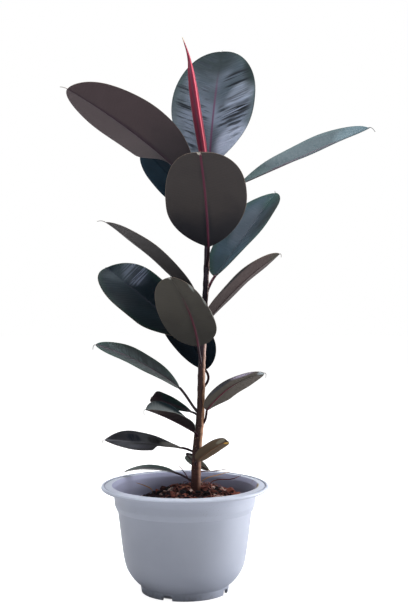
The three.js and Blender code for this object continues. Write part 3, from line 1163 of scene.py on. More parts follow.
@dataclass(frozen=True)
class LeafSkin:
    """The finish of one leaf: glossy above, dull below, with veins, creases, a midrib and a margin.

    Lengths are in millimetres. creases says how deep the folds between the side veins are and how
    dark their painted shade is, and relief how strong the finer ones. vein_slope is how far a vein
    runs on along the blade for each step out from the midrib, and rib_end where the midrib's colour
    has faded. matte is how much rougher the upper face is in the folds and in matte blotches. The
    underside is painted darker towards its foot, as painted shade.
    """

    upper: Colour = "#141f27"
    patch: Colour = "#22323a"
    rim: Colour = "#27423a"
    under: Colour = "#383231"
    # painted shade towards the foot, and the darker tone of the underside's mottle, veins and grain
    under_shade_and_grain: Colour = "#2a2527"
    upper_rib: Colour = "#4a3440"
    under_rib: Colour = "#3e262e"
    margin: Colour = "#6b5c50"
    petiole: Colour = "#28101a"
    margin_width: float = 0.8
    rim_width: float = 15
    rib_width: float = 2.4
    gloss: float = 0.30
    dullness: float = 0.6
    matte: float = 0.45
    shine: float = 0.5
    coat: float = 0.18
    shade_reach: float = 120
    vein_spacing: float = 5.0
    vein_slope: float = 0.3
    creases: float = 0.3
    rib_end: float = 320
    relief: float = 1.0
    above: tuple[TintOrPaintedLight, ...] = ()
    below: tuple[TintOrPaintedLight, ...] = ()

    # painted shade in the depth of the folds
    FOLD_SHADE = (0.003, 0.005, 0.007, 1)  # the colour in the depth of a fold

    def material(self, name: str) -> Material:
        """Builds the material.

        The place mark holds the way along the blade from its foot and the signed distance from the
        midrib, both in millimetres, and 1 on the upper face or -1 below. The edge mark is the
        distance to the margin.

        Args:
            name: The leaf's name.

        Returns:
            The material.
        """
        graph = Finish(name + "_skin")
        along, out, face = graph.marks()
        edge = graph.edge()
        distance = abs(out)
        above = face.step(-0.4, 0.4)
        blade = along.step(-3, 5)
        clouds = graph.noise(22, detail=3)
        grain = graph.noise(900, detail=3)
        course = along - distance * self.vein_slope
        veins = (course / self.vein_spacing + graph.noise(60, detail=2) * 0.9).wave()
        folds = graph.noise(1, graph.vector(course * 0.2, out * 0.022, clouds), detail=2)
        across = graph.vector(course * 0.34, out * 0.02, clouds * 0.5)
        lines = (0.5 - graph.noise(1, across, detail=1)).step(-0.05, 0.05)
        inner = distance.step(1, 14) * edge.step(1, 12)
        # the folds between the side veins, painted darker as painted shade that also loses its
        # gloss
        hollow = (0.5 - folds).step(0.0, 0.12) * clouds.step(0.38, 0.56) * inner
        hollow = hollow * min(1.0, self.creases * 2)
        rib = 1 - distance.step(self.rib_width / 3, self.rib_width)
        rib = rib * (1 - along.step(self.rib_end * 0.45, self.rib_end))

        top = graph.layers(
            self.upper,
            (self.patch, clouds.step(0.35, 0.7)),
            (self.rim, (1 - edge.step(0.5, self.rim_width)) * 0.75),
            (self.patch, veins**10 * 0.25),
            (self.FOLD_SHADE, hollow * min(0.8, self.creases)),
            (self.upper_rib, rib * 0.8),
        )
        sheen = (1 - hollow) * (1 - rib * 0.7)
        # The patches above include the leaf's own colours, painted sheen and painted shade.
        for tint_or_light in self.above:
            share = tint_or_light.spread(course, out) * (1 - lines * tint_or_light.streaks)
            top = graph.mix(top, tint_or_light.colour, share * (1 - hollow * 0.6))
            sheen = sheen * (1 - share * tint_or_light.matte)

        # The underside's darker tone: random mottle, painted shade towards the foot and darker
        # beside the midrib.
        shaded = (clouds - 0.5) * 0.9 + 1 - along.step(0, self.shade_reach)
        shaded = shaded + (1 - distance.step(0, 9)) * 0.4
        low = graph.layers(
            self.under,
            (self.under_shade_and_grain, shaded.step(0, 1)),
            (self.under_shade_and_grain, veins**6 * 0.1 + grain.step(0.5, 0.8) * 0.25),
            (self.under_rib, rib * 0.85),
            *((tint_or_light.colour, tint_or_light.spread(course, out)) for tint_or_light in self.below),
        )

        margin = 1 - edge.step(0.2 * self.margin_width, self.margin_width)
        colour = graph.layers(low, (top, above), (self.margin, margin * 0.7))
        colour = graph.mix(self.petiole, colour, blade)
        rough = blend(self.dullness, self.gloss, above) + (grain - 0.5) * 0.1 * self.relief
        fine = ((1 - veins * veins) * (above * 0.04 + 0.015) + grain * 0.01) * self.relief
        graph.set(
            Base_Color=colour,
            Roughness=rough + (1 - sheen) * above * self.matte,
            Coat_Weight=above * blade * sheen * self.coat,
            Coat_Roughness=0.18,
            Normal=graph.bump(folds * inner * above * self.creases * 1.6 + fine, MM, 0.7),
            Specular_IOR_Level=self.shine,
        )
        return graph.material


@dataclass(frozen=True)
class Section:
    """One cross-section of a leaf. Lengths are in millimetres.

    left and right are the half widths, radius is the rib's or the petiole's, droop is how far the
    blade's wave lifts the edges and reach is the way from the blade's foot.
    """

    point: Vector
    side: Vector
    face: Vector
    left: float
    right: float
    radius: float
    droop: float
    reach: float


@dataclass(frozen=True)
class Leaf:
    """One leaf: where it grows, the three points of its midrib, its outline and its finish.

    node is the height at which the petiole leaves the stem, base, middle and tip are points of the
    midrib, hook is the reach of the drip tip, bow is how far the petiole bulges. widest is the
    place of the greatest width, shear moves it apart on the two sides, lean makes one half wider.
    foot and crown say how pointed the ends are. roll turns the blade about its midrib, twist adds
    to that along it and fold raises both halves, in degrees. neck_left and neck_right narrow one
    half towards its foot: the place, the softness and the share that is left.
    """

    node: float
    base: Triple
    middle: Triple
    tip: Triple
    hook: Triple
    width: float
    widest: float
    fold: float
    roll: float = 0
    bow: Triple = (0, 0, 0)
    shear: float = 0
    lean: float = 0
    twist: float = 0
    foot: float = 0.75
    crown: float = 0.5
    neck_left: Triple = (0, 0.01, 0.99)
    neck_right: Triple = (0, 0.01, 0.99)
    skin: LeafSkin = LeafSkin()

    HALF_THICKNESS = 0.38
    RIB_DENT = 0.3  # of the half thickness, along the midrib's upper side
    RIDGE_REACH = 0.85  # of the rib's radius
    STALK = 1.4
    STALK_PER_WIDTH = 1 / 150
    STALK_FLARE = 1.35  # at the stem, over the first third of the petiole
    LEAVING = 0.35  # of the petiole, where it bends away from the stem
    ARRIVING = 0.4  # of the petiole, where it has the midrib's direction
    CREASE = 0.3
    CREASE_SPACING = 1.7  # times that of the side veins
    WAVE_PER_WIDTH = 0.006
    WAVES = 2.3
    FULLNESS = 2.2
    RIB_END = 0.5
    HOOK_END = 0.36
    LARGE = 52
    ROWS = (18, 120, 8)  # of a large leaf's petiole, blade and drip tip
    SMALL_ROWS = (14, 72, 6)
    COLUMNS = 80
    SMALL_COLUMNS = 56

    def half_width(self, along: float, shear: float, neck: Triple) -> float:
        """Measures one half of the blade.

        Args:
            along: The share of its way.
            shear: How much further along than usual this half is widest.
            neck: The place, the softness and the rest of the width where it narrows.

        Returns:
            Half the blade's width there.
        """
        widest = self.widest + shear
        before = along < widest
        away = (widest - along) / widest if before else (along - widest) / (1 - widest)
        share = max(0.0, 1 - abs(away) ** self.FULLNESS)
        half = self.width / 2 * share ** (self.foot if before else self.crown)
        place, softness, least = neck
        return half * blend(least, 1, ease(along, place - softness, place + softness))

    def turn_at(self, along: float) -> float:
        """How far the blade is turned about its midrib, in radians."""
        return math.radians(self.roll + self.twist * (along - 0.5))

    @staticmethod
    def section(
        curve: Sequence[Vector],
        share: float,
        turn: float,
        sizes: Triple,
        reach: float,
        droop: float = 0,
    ) -> Section:
        """The cross-section at a share of one of the leaf's curves.

        Args:
            curve: The curve's control points.
            share: The place along it.
            turn: The turn about the curve, in radians.
            sizes: The left and right half widths and the rib's radius.
            reach: The way from the blade's foot.
            droop: How far the wave lifts the edges there.

        Returns:
            The cross-section.
        """
        heading = bezier_heading(curve, share)
        across = heading.cross(UP).normalized()
        normal = across.cross(heading)
        side = across * math.cos(turn) + normal * math.sin(turn)
        face = normal * math.cos(turn) - across * math.sin(turn)
        return Section(bezier(curve, share), side, face, *sizes, droop, reach)

    def sections(self, start: Vector, index: int) -> list[Section]:
        """The cross-sections from inside the stem to the end of the drip tip.

        Args:
            start: The stem's centre at the leaf's node.
            index: The leaf's place in the list, which sets its waves.

        Returns:
            The cross-sections in order.
        """
        stalk = self.STALK + self.width * self.STALK_PER_WIDTH
        base, middle, tip, bow = map(Vector, (self.base, self.middle, self.tip, self.bow))
        midrib = [base, 2 * middle - (base + tip) / 2, tip]
        reach = (base - start).length
        arrive = base - bezier_heading(midrib, 0) * self.ARRIVING * reach + bow
        petiole = [start, start.lerp(base, self.LEAVING) + bow, arrive, base]
        end = tip + Vector(self.hook)
        hook = [tip, tip + bezier_heading(midrib, 1) * 0.5 * (end - tip).length, end]
        length = (middle - base).length + (tip - middle).length
        large = self.width > self.LARGE
        petiole_rows, blade_rows, hook_rows = self.ROWS if large else self.SMALL_ROWS
        made = []
        for row in range(petiole_rows):
            along = row / petiole_rows
            sizes = (stalk * blend(self.STALK_FLARE, 1, min(1.0, along * 3)),) * 3
            turn = self.turn_at(0) * along
            made.append(self.section(petiole, along, turn, sizes, (along - 1) * reach))
        for row in range(blade_rows + 1):
            along = (1 - math.cos(math.pi * row / blade_rows)) / 2
            radius = blend(stalk, self.RIB_END, along)
            left = (1 - self.lean) * self.half_width(along, -self.shear, self.neck_left)
            right = (1 + self.lean) * self.half_width(along, self.shear, self.neck_right)
            sizes = (max(radius, left), max(radius, right), radius)
            wave = math.sin(TAU * self.WAVES * along + index)
            droop = self.width * self.WAVE_PER_WIDTH * wave
            turn = self.turn_at(along)
            made.append(self.section(midrib, along, turn, sizes, along * length, droop))
        for row in range(1, hook_rows + 1):
            along = row / hook_rows
            sizes = (blend(self.RIB_END, self.HOOK_END, along),) * 3
            made.append(self.section(hook, along, self.turn_at(1), sizes, length + row))
        return made

    def crease(self, cut: Section, out: float, width: float, index: int) -> float:
        """Measures the creases between the side veins.

        Args:
            cut: The cross-section.
            out: The distance from the midrib.
            width: The half width on that side.
            index: The leaf's place in the list.

        Returns:
            How far they lift the blade there.
        """
        share = out / width
        fade = math.sin(math.pi * min(1.0, share)) ** 0.7 * ease(cut.reach, 0, 25)
        uneven = noise.noise(Vector((cut.reach * 0.03, share * 1.5, index * 3.7))) * 1.2
        spacing = self.skin.vein_spacing * self.CREASE_SPACING
        phase = (cut.reach - out * self.skin.vein_slope) / spacing + uneven
        patch = noise.noise(Vector((cut.reach * 0.05, out * 0.05, index * 1.9 + 40)))
        return self.CREASE * self.skin.creases * (0.5 + patch) * fade * math.sin(TAU * phase)

    def spot(self, cut: Section, around: float, index: int) -> Spot:
        """Gives one point of the leaf's skin.

        The first half of the way round is the upper face from left to right, and the rest is the
        underside. flat is 0 where the leaf is a round stalk and 1 where it is a blade.

        Args:
            cut: The cross-section.
            around: The share of the way round it.
            index: The leaf's place in the list.

        Returns:
            The point in the frame, the place mark and the edge distance.
        """
        is_upper = around <= 0.5
        sweep = around * 4 - 1 if is_upper else 3 - around * 4
        sideways = math.copysign(ease(abs(sweep), 0, 1), sweep)
        width = cut.left if sideways < 0 else cut.right
        widest = max(cut.left, cut.right)
        flat = min(1.0, max(0.0, (widest / cut.radius - 1) / 4))
        out = abs(sideways) * width
        inward = width - out
        tube = cut.radius * math.sqrt(max(0.0, 1 - min(1.0, out / cut.radius) ** 2))
        thin = self.HALF_THICKNESS
        rim = math.sqrt(max(0.0, 1 - (1 - min(1.0, inward / thin)) ** 2))
        ridge = math.exp(-((out / (self.RIDGE_REACH * cut.radius)) ** 2))
        if is_upper:
            height = blend(tube, (thin - self.RIB_DENT * thin * ridge) * rim, flat)
        else:
            height = -blend(tube, (thin + (cut.radius - thin) * ridge) * rim, flat)
        fold = math.radians(self.fold) * flat
        lift = out * math.sin(fold) + cut.droop * abs(sideways) * flat
        lift += self.crease(cut, out, width, index) * flat
        point = cut.point + cut.side * math.copysign(out * math.cos(fold), sideways)
        point = point + cut.face * (lift + height)
        on_edge = inward < 1e-4
        upper_mark = 0.0 if on_edge else (1.0 if is_upper else -1.0)
        mark = Vector((cut.reach, math.copysign(out, sideways), upper_mark))
        return in_frame(point), mark, inward

    def build(self, stem: Stem, index: int) -> Object:
        """Builds the leaf.

        Args:
            stem: The stem that carries it.
            index: The leaf's place in the list, from 0 at the top.

        Returns:
            The leaf.
        """
        name = f"leaf_{index + 1:02d}"
        cuts = self.sections(stem.at(self.node), index)
        columns = self.COLUMNS if self.width > self.LARGE else self.SMALL_COLUMNS
        mesh = new_mesh()

        def spot(around: float, along: float) -> Spot:
            """One point of the skin, at the cross-section of its row."""
            return self.spot(cuts[round(along * (len(cuts) - 1))], around, index)

        wrap(mesh, columns, len(cuts) - 1, spot)
        leaf = bare_object("dressed_" + name, mesh, crease=80)
        return dress(leaf, self.skin.material(name), [name])


LEAVES = (
    Leaf(
        604, (36, 12, 633), (44, 50, 732), (57, 112, 834), (1, 3, 3), width=131, widest=0.54,
        lean=-0.02, foot=0.9, crown=0.52, fold=5,
        skin=LeafSkin(
            # The lilac-grey patch colour and the pale lilac patches are painted sheen, and the dark
            # streaks and patches, which also lose their gloss, are painted shade.
            upper="#1c2830", patch="#3c4654", rim="#0f2620", upper_rib="#3c1030", gloss=0.34,
            shine=0.42, creases=1.0, rib_end=230, vein_slope=0.42, margin="#1a2624",
            above=(
                TintOrPaintedLight("#6a7486", 112, 40, 34, 26, 0.7, 0, 0.5),
                TintOrPaintedLight("#081413", 218, -20, 66, 70, 0.9, 1),
                TintOrPaintedLight("#081413", 190, 56, 90, 20, 0.9, 1),
                TintOrPaintedLight("#12201f", 110, -62, 60, 22, 0.6, 0.5),
                TintOrPaintedLight("#03070b", 143, 34, 3, 26, 1, 1),
                TintOrPaintedLight("#05090d", 158, 30, 14, 26, 1, 1, 1),
                TintOrPaintedLight("#05090d", 86, 36, 14, 28, 1, 1, 1),
                TintOrPaintedLight("#03070b", 80, 36, 2.5, 26, 1, 1),
                TintOrPaintedLight("#070d12", 118, 36, 16, 24, 0.8, 1, 1),
                TintOrPaintedLight("#070d12", 128, -46, 8, 22, 1, 1, 0.8),
                TintOrPaintedLight("#070d12", 96, -42, 10, 22, 1, 1, 0.8),
                TintOrPaintedLight("#7c8496", 30, 34, 36, 34, 0.6),
            ),
        ),
    ),
    Leaf(
        586, (9, -8, 609), (-78, -30, 679), (-166, -70, 731), (-10, -4, 2), width=115, widest=0.43,
        shear=0.04, lean=-0.01, foot=0.7, crown=0.6, neck_right=(0.28, 0.09, 0.12), roll=-25,
        fold=14,
        skin=LeafSkin(
            under="#3e3134", under_shade_and_grain="#2a2227", under_rib="#260f1e", shine=0.3, creases=0.08,
            below=(TintOrPaintedLight("#2a1424", 85, 0, 110, 6, 0.6),),
        ),
    ),
    Leaf(
        530, (16, 18, 565), (-21, 60, 621), (-67, 110, 675), (-4, 4, 0), width=78, widest=0.46,
        crown=0.66, roll=20, fold=8,
        skin=LeafSkin(
            # painted shade: the upper face is darkened to near black
            upper="#030b12", patch="#06121a", rim="#06121a", upper_rib="#030b12", margin="#0a1218",
            gloss=0.5, shine=0.03, creases=0.05, coat=0,
        ),
    ),
    Leaf(
        480, (35, -24, 510), (31, -80, 570), (23, -150, 627), (2, -3, -5), width=117, widest=0.49,
        shear=-0.07, foot=0.8, crown=0.42, fold=4,
        skin=LeafSkin(
            under="#35302f", under_shade_and_grain="#15141b", under_rib="#521830", shine=0.3, shade_reach=110,
            creases=0.08,
            below=(TintOrPaintedLight("#b4b0a6", 171, 2, 4, 3, 0.9),),
        ),
    ),
    Leaf(
        575, (80, 12, 607), (179, 30, 652), (282, 50, 700), (11, 2, -6), width=92, widest=0.66,
        foot=0.95, crown=0.5, roll=-17, fold=13,
        skin=LeafSkin(
            upper="#1b2b30", patch="#243439", rim="#22383a", under="#241c1e", margin="#10141a",
            margin_width=1.8, shine=0.35, creases=0.08, relief=0.1,
            # The paler teal patches at the foot and the tip are painted sheen.
            above=(
                TintOrPaintedLight("#3a4c4c", 20, 0, 45, 30, 0.6),
                TintOrPaintedLight("#3a4e56", 205, 0, 45, 40, 0.7),
            ),
        ),
    ),
    Leaf(
        439, (45, 12, 469), (95, 50, 538), (141, 95, 605), (0, 1, 4), width=112, widest=0.48,
        shear=-0.1, lean=0.07, foot=0.56, crown=0.75, roll=1, fold=15,
        skin=LeafSkin(
            upper="#25343a", patch="#334450", upper_rib="#2c323c", petiole="#4a2430",
            margin="#181e24", creases=0.2, relief=0.6,
            # The two lilac-grey patches are painted sheen.
            above=(
                TintOrPaintedLight("#565e6c", 104, -12, 56, 22, 0.4),
                TintOrPaintedLight("#4a5460", 100, 16, 56, 16, 0.45),
                TintOrPaintedLight("#2a4440", 165, 14, 30, 26, 0.6),
            ),
        ),
    ),
    Leaf(
        388, (27, -12, 395), (84, -16, 457), (140, -20, 500), (2, -1, -5), width=76, widest=0.55,
        lean=-0.04, foot=0.42, crown=0.7, roll=12, fold=8,
        skin=LeafSkin(
            under="#3e3534", under_shade_and_grain="#322b2a", under_rib="#322828", shine=0.04, creases=0.08,
            below=(
                TintOrPaintedLight("#060f13", 62, 40, 70, 13, 1),
                # painted shade: a darker strip on the left half
                TintOrPaintedLight("#2c2424", 80, -24, 90, 16, 0.5),
                TintOrPaintedLight("#44142a", 2, -4, 22, 8, 0.8),
                TintOrPaintedLight("#383a32", 148, 0, 22, 20, 0.6),
            ),
        ),
    ),
    Leaf(
        406, (18, -6, 433), (-52, -12, 499), (-117, -18, 547), (-12, -2, 1), width=78, widest=0.4,
        foot=0.7, crown=0.9, roll=-10, fold=11,
        skin=LeafSkin(
            under="#383535", under_shade_and_grain="#302d2e", under_rib="#322e2e", shine=0.3, creases=0.08,
        ),
    ),
    Leaf(
        362, (16, 14, 372), (-60, 50, 434), (-127, 100, 487), (-3, 4, -3), width=111, widest=0.47,
        shear=0.17, lean=-0.1, foot=0.62, crown=0.52, neck_left=(0.16, 0.18, 0.5), roll=26, fold=8,
        skin=LeafSkin(
            # painted shade: the upper face is darkened to near black
            upper="#050d13", patch="#0a151b", rim="#10201c", upper_rib="#141820", shine=0.08,
            creases=0.14, coat=0.06,
            above=(
                # The lilac patch is painted sheen.
                TintOrPaintedLight("#586074", 152, 26, 34, 28, 0.45, 0, 0.8),
                TintOrPaintedLight("#2a343a", 172, 8, 24, 36, 0.4),
            ),
        ),
    ),
    Leaf(
        333, (20, -18, 364), (8, -60, 412), (-18, -115, 461), (4, -2, -3), width=79, widest=0.4,
        shear=0.1, lean=0.19, foot=0.6, crown=0.5, roll=-8, fold=3,
        skin=LeafSkin(
            under="#403d37", under_shade_and_grain="#302e2a", under_rib="#4e1a2c", shine=0.3, creases=0.08,
            rib_end=118,
            below=(
                TintOrPaintedLight("#8a908c", 62, -32, 26, 2.4, 0.8),
                TintOrPaintedLight("#8a908c", 94, -28, 24, 2.6, 0.8),
                TintOrPaintedLight("#8a908c", 120, -20, 18, 3, 0.8),
                TintOrPaintedLight("#a8aaa4", 142, 2, 4, 3, 0.7),
            ),
        ),
    ),
    Leaf(
        301, (30, 16, 328), (2, 60, 380), (-29, 110, 426), (-2, 4, 1), bow=(6, 4, -3), width=79,
        widest=0.5, foot=0.65, crown=0.5, roll=6, fold=8,
        skin=LeafSkin(
            # painted shade: the upper face is darkened to near black
            upper="#050c13", patch="#08111a", rim="#08131a", upper_rib="#050c13", shine=0.06,
            creases=0.1, coat=0.04,
        ),
    ),
    Leaf(
        262, (-7, -4, 301), (-67, -8, 340), (-132, -12, 366), (-4, -1, -7), bow=(-2, 0, -3),
        width=80, widest=0.56, crown=0.6, roll=16, fold=6,
        skin=LeafSkin(
            upper="#262f31", patch="#364246", margin="#20282c", creases=0.12, relief=1.6,
            above=(
                TintOrPaintedLight("#4a5658", 80, 14, 60, 18, 0.6, 0, 0.8),
                TintOrPaintedLight("#10161a", 147, 0, 7, 5, 1),
            ),
        ),
    ),
    Leaf(
        256, (12, 10, 264), (-20, 19, 275), (-50.5, 28, 286), (-2, 1, -3), width=27, widest=0.88,
        lean=0.15, foot=1, crown=0.15, roll=38, fold=4,
        skin=LeafSkin(
            upper="#2a383e",
            above=(TintOrPaintedLight("#34262c", 64, 0, 15, 20, 0.8),),
        ),
    ),
    Leaf(
        224, (13.5, -10, 237.5), (-23, -20, 257.5), (-57, -30, 271.5), (-2, 0, -8), width=50,
        widest=0.5, foot=0.5, crown=0.5, roll=12, twist=30, fold=38,
        skin=LeafSkin(
            # The pale upper, patch, midrib and margin colours are painted reflection.
            under="#40332f", upper="#a4aeb0", patch="#b0b8b8", rim="#141e22", upper_rib="#8f999b",
            margin="#9a9e98", shine=0.05, creases=0.1, coat=0,
            above=(TintOrPaintedLight("#26343a", 40, 27, 70, 13, 1),),
            below=(TintOrPaintedLight("#1a1614", 86, 0, 6, 5, 1),),
        ),
    ),
    Leaf(
        245, (32.5, -4, 268.5), (70, -10, 305), (117.5, -16, 324.5), (2, -1, -7), bow=(5, 0, -4),
        width=54, widest=0.48, shear=-0.14, lean=-0.14, foot=0.45, crown=0.6,
        neck_left=(0.16, 0.2, 0.4), roll=28, twist=-10, fold=2,
        skin=LeafSkin(
            under="#504a44", under_shade_and_grain="#3e3a34", under_rib="#561c30", shine=0.1, creases=0.08,
            rib_end=74,
            below=(
                TintOrPaintedLight("#24282e", 36, 21, 30, 9, 0.9),
                # painted sheen: a lilac strip near the edge
                TintOrPaintedLight("#948ca0", 76, 20, 28, 11, 0.9),
                TintOrPaintedLight("#a9b4b8", 106, 4, 15, 10, 0.9),
            ),
        ),
    ),
    Leaf(
        204, (-3, -2, 212), (-58, -6, 220), (-120, -10, 225), (-2, -1, -5), width=54, widest=0.51,
        shear=0.1, lean=0.02, foot=0.95, crown=1, neck_left=(0.38, 0.04, 0.3), roll=22, twist=30,
        fold=4,
        skin=LeafSkin(
            upper="#222126", patch="#2e2e36", rim="#282a30", upper_rib="#5a5a60", shine=0.2,
            creases=0.12,
            above=(
                # The two dark patches, which also lose their gloss, are painted shade.
                TintOrPaintedLight("#0c1220", 74, 10, 14, 12, 1, 0.9, 0.4),
                TintOrPaintedLight("#141110", 44, 10, 12, 12, 0.9, 0.9, 0.4),
                # The lilac-grey patch is painted sheen and the pale patch by the foot a painted
                # highlight.
                TintOrPaintedLight("#464652", 58, -12, 26, 8, 0.7),
                TintOrPaintedLight("#908e88", 18, 2, 22, 12, 0.85),
                TintOrPaintedLight("#10161a", 123, 0, 6, 5, 1),
            ),
        ),
    ),
    Leaf(
        182, (18, -12, 194), (39, -18, 211), (63, -24, 225), (3, 0, 0), width=35, widest=0.5,
        foot=0.4, crown=0.25, roll=32, fold=8,
        skin=LeafSkin(
            under="#86745a", under_shade_and_grain="#5a4c3a", under_rib="#6e5038", margin="#3a2c1e",
            below=(
                TintOrPaintedLight("#a2a694", 46, 7, 9, 5, 0.4),
                TintOrPaintedLight("#d8a83c", 51, -4, 4, 5, 0.9),
                TintOrPaintedLight("#0c0a0a", 55.5, 3, 3.5, 3.5, 1),
            ),
        ),
    ),
    Leaf(
        200, (3, 12, 200), (17, 22, 186), (36, 26, 175), (2, 0, -1), width=20, widest=0.45,
        foot=0.4, crown=0.6, roll=40, fold=8,
        skin=LeafSkin(
            upper="#8c9b90", patch="#9aa99e", under="#9aa99e", under_shade_and_grain="#8c9b90",
            above=(TintOrPaintedLight("#9a7850", 45, 0, 4, 8),),
            below=(TintOrPaintedLight("#9a7850", 45, 0, 4, 8),),
        ),
    ),
    Leaf(
        159, (-12, 8, 173), (-56, 40, 176), (-97, 70, 165.5), (-4, 1, -2), width=26, widest=0.62,
        foot=0.85, roll=10, twist=10, fold=8,
        skin=LeafSkin(upper="#4a5454"),
    ),
)


# ---------- potting mix ----------


@dataclass(frozen=True)
class HuskFinish:
    """The finish of the bed, the chips or the fibres. The edge mark picks each bit's colour."""

    name: str
    dark: Colour
    warm: Colour
    light: Colour
    relief: float  # in metres

    def material(self) -> Material:
        """Builds the material.

        Returns:
            The material.
        """
        graph = Finish(self.name)
        pick = graph.edge()
        streaks = graph.noise(420, graph.stretched(2.5), detail=5, roughness=0.7)
        patches = graph.noise(110, detail=3)
        colour = graph.layers(
            self.dark,
            (self.warm, (pick * 0.75 + patches * 0.35).step(0.48, 0.92)),
            (self.light, (pick - 0.88).step(0.0, 0.04) * 0.9),
            (self.dark, streaks.step(0.45, 0.7) * 0.6),
        )
        graph.set(
            Base_Color=colour,
            Roughness=0.85 - patches * 0.15,
            Normal=graph.bump(streaks, self.relief, 0.8),
            Specular_IOR_Level=0.25,
        )
        return graph.material


class Strand(Enum):
    """The kinds of loose strand, each with its radius in millimetres and the pick of its colour."""

    TWIG = (0.75, 0.6)
    ROOT = (0.9, 0.58)
    FIBRE = (0.4, 0.7)
    STRAW = (0.7, 0.95)


@dataclass
class HuskMix:
    """The coarse husk mix: a mound round the stem, with chips, crumbs, roots and fibres on it.

    Each chunk is a large chip of its own: its place, how far it stands out, its length and its
    colour's pick. The placed strands are those that the photo shows one by one.
    """

    pot: PlantPot
    stem: Stem
    seed: int = 7
    gap: float = 0.3
    top_near_stem: float = 151
    top_at_wall: float = 128
    mound_inside: float = 14
    mound_outside: float = 112
    lump: float = 2.2
    roughness: float = 2.2  # of the bed
    fine_roughness: float = 1.2
    bed_drop: float = 1.5
    bed_pick: float = 0.25
    hollow: float = 8
    hollow_reach: float = 15
    hollow_before: float = 12  # the stem's foot
    rings: int = 64
    steps: int = 128
    chips: int = 420
    crumbs: int = 420
    fibres: int = 230
    roots: int = 38
    nearest: float = 9  # to the stem's foot
    crowding: float = 0.62  # 0.5 is even, and more is closer to the stem
    chip_reach: float = 90
    chip_fall: float = 110  # where chips would have shrunk to their least length
    chip_length: Pair = (6, 17)
    chip_width: Pair = (3.5, 8)
    chip_thickness: Pair = (1.6, 4.2)
    chip_lift: Pair = (-0.6, 1.6)
    chunk_shape: Triple = (1, 0.6, 0.42)  # of its length
    crumb_size: Pair = (0.8, 2.4)
    crumb_shape: tuple[Pair, ...] = ((0.7, 1.5), (0.7, 1.2), (0.5, 1))
    crumb_reach: float = 92
    fibre_reach: float = 78
    clear_side: float = 9  # where no chip lies before the stem's foot
    clear_front: float = 26
    clear_back: float = 4
    fibre_length: Pair = (12, 42)
    fibre_arch: Pair = (0.6, 7)
    fibre_bend: float = 0.5
    fibre_lift: float = 0.4
    fibre_pick: float = 0.85
    fibre_margin: float = 4  # from the wall
    root_height: Pair = (2, 8)
    root_spread: float = 5
    root_end: float = 32
    front_roots: float = 0.3  # of the height of the others
    root_pick: Pair = (0.45, 0.9)
    break_off: float = 0.16  # of a chip's sizes, how far its corners are moved
    blunt: float = 0.11  # of a chip's sizes, how far its edges are cut
    tilt: float = 0.45
    chunks: tuple[tuple[float, float, float, float, float], ...] = (
        (-17, 22, 3, 13, 0.72), (-30, 14, 3, 13, 0.6), (-6, 26, 3, 10, 0.3), (-38, 8, 2, 13, 0.8),
        (66, 12, 2, 13, 0.8), (56, -6, 2, 9, 0.95), (42, -10, 2, 7, 0.94), (48, 8, 3, 10, 0.2),
        (-2, -26, 2, 11, 0.15), (8, -22, 6, 9, 0.97), (-64, 4, 3, 8, 0.95), (24, 14, 4, 9, 0.94),
        (78, 2, 2, 12, 0.75),
    )
    placed: tuple[tuple[Strand, tuple[Triple, ...]], ...] = (
        (Strand.TWIG, ((12, 14, 141), (4, 19, 164), (-3.4, 21, 175), (-13.4, 22, 187))),
        (Strand.STRAW, ((-46, 24, 130), (-52, 28, 146), (-62, 30, 151), (-75, 32, 155))),
        (Strand.STRAW, ((8, 26, 141), (30, 24, 162), (50, 32, 167), (70, 40, 171))),
        (Strand.ROOT, ((28, 34, 138), (42, 38, 156.5), (71, 40, 159.5), (85, 45, 164))),
        (Strand.ROOT, ((12, 50, 134), (18, 58, 165), (45, 60, 169), (69, 62, 172))),
    )

    def height(self, x: float, y: float) -> float:
        """Measures the mound, which has the CAD mound's lumps.

        Args:
            x: The way to the right of the pot's axis.
            y: The way to the back of it.

        Returns:
            The mound's height there.
        """
        right, back = x - self.stem.foot.x, y - self.stem.foot.y
        fall = ease(math.hypot(right, back), self.mound_inside, self.mound_outside)
        lumps = math.sin(x * 0.31 + 1.3) * math.cos(y * 0.27) + 0.6 * math.sin(x * 0.13 - y * 0.19)
        away = math.hypot(right, back + self.hollow_before) / self.hollow_reach
        top = blend(self.top_near_stem, self.top_at_wall, fall)
        return top - self.hollow * math.exp(-(away**2)) + self.lump * lumps * (1 - fall)

    def on_mound(self, x: float, y: float, lift: float = 0) -> Vector:
        """The point of the mound's surface at a place, lifted off it."""
        return Vector((x, y, self.height(x, y) + lift))

    def rim_radius(self) -> float:
        """Measures the mix's upper edge.

        Returns:
            Its radius, a gap less than that of the inside of the pot's wall at its height.
        """
        inner = self.pot.inside()[::-1]
        above = next(place for place, point in enumerate(inner) if point[1] >= self.top_at_wall)
        (low, bottom), (high, top) = inner[above - 1 : above + 1]
        return blend(low, high, (self.top_at_wall - bottom) / (top - bottom)) - self.gap

    def room(self, share: float = 0.25) -> Object:
        """Makes the room that the stem takes up in the mix.

        Args:
            share: How much of the stem it covers, from below.

        Returns:
            A tube a little wider than the stem.
        """
        core = new_mesh()

        def spot(around: float, along: float) -> Spot:
            """Gives one point of the tube.

            Args:
                around: The share of the way round.
                along: The share of the way along.

            Returns:
                The point, its place mark and its edge distance.
            """
            turn = Vector((math.cos(around * TAU), math.sin(around * TAU), 0))
            radius = stepped(self.stem.radii, along * share) + 2 * self.gap
            return in_frame(self.stem.curve.at(along * share) + turn * radius), Vector(), 0.0

        wrap(core, 32, 8, spot)
        return bare_object("stem_room", core)

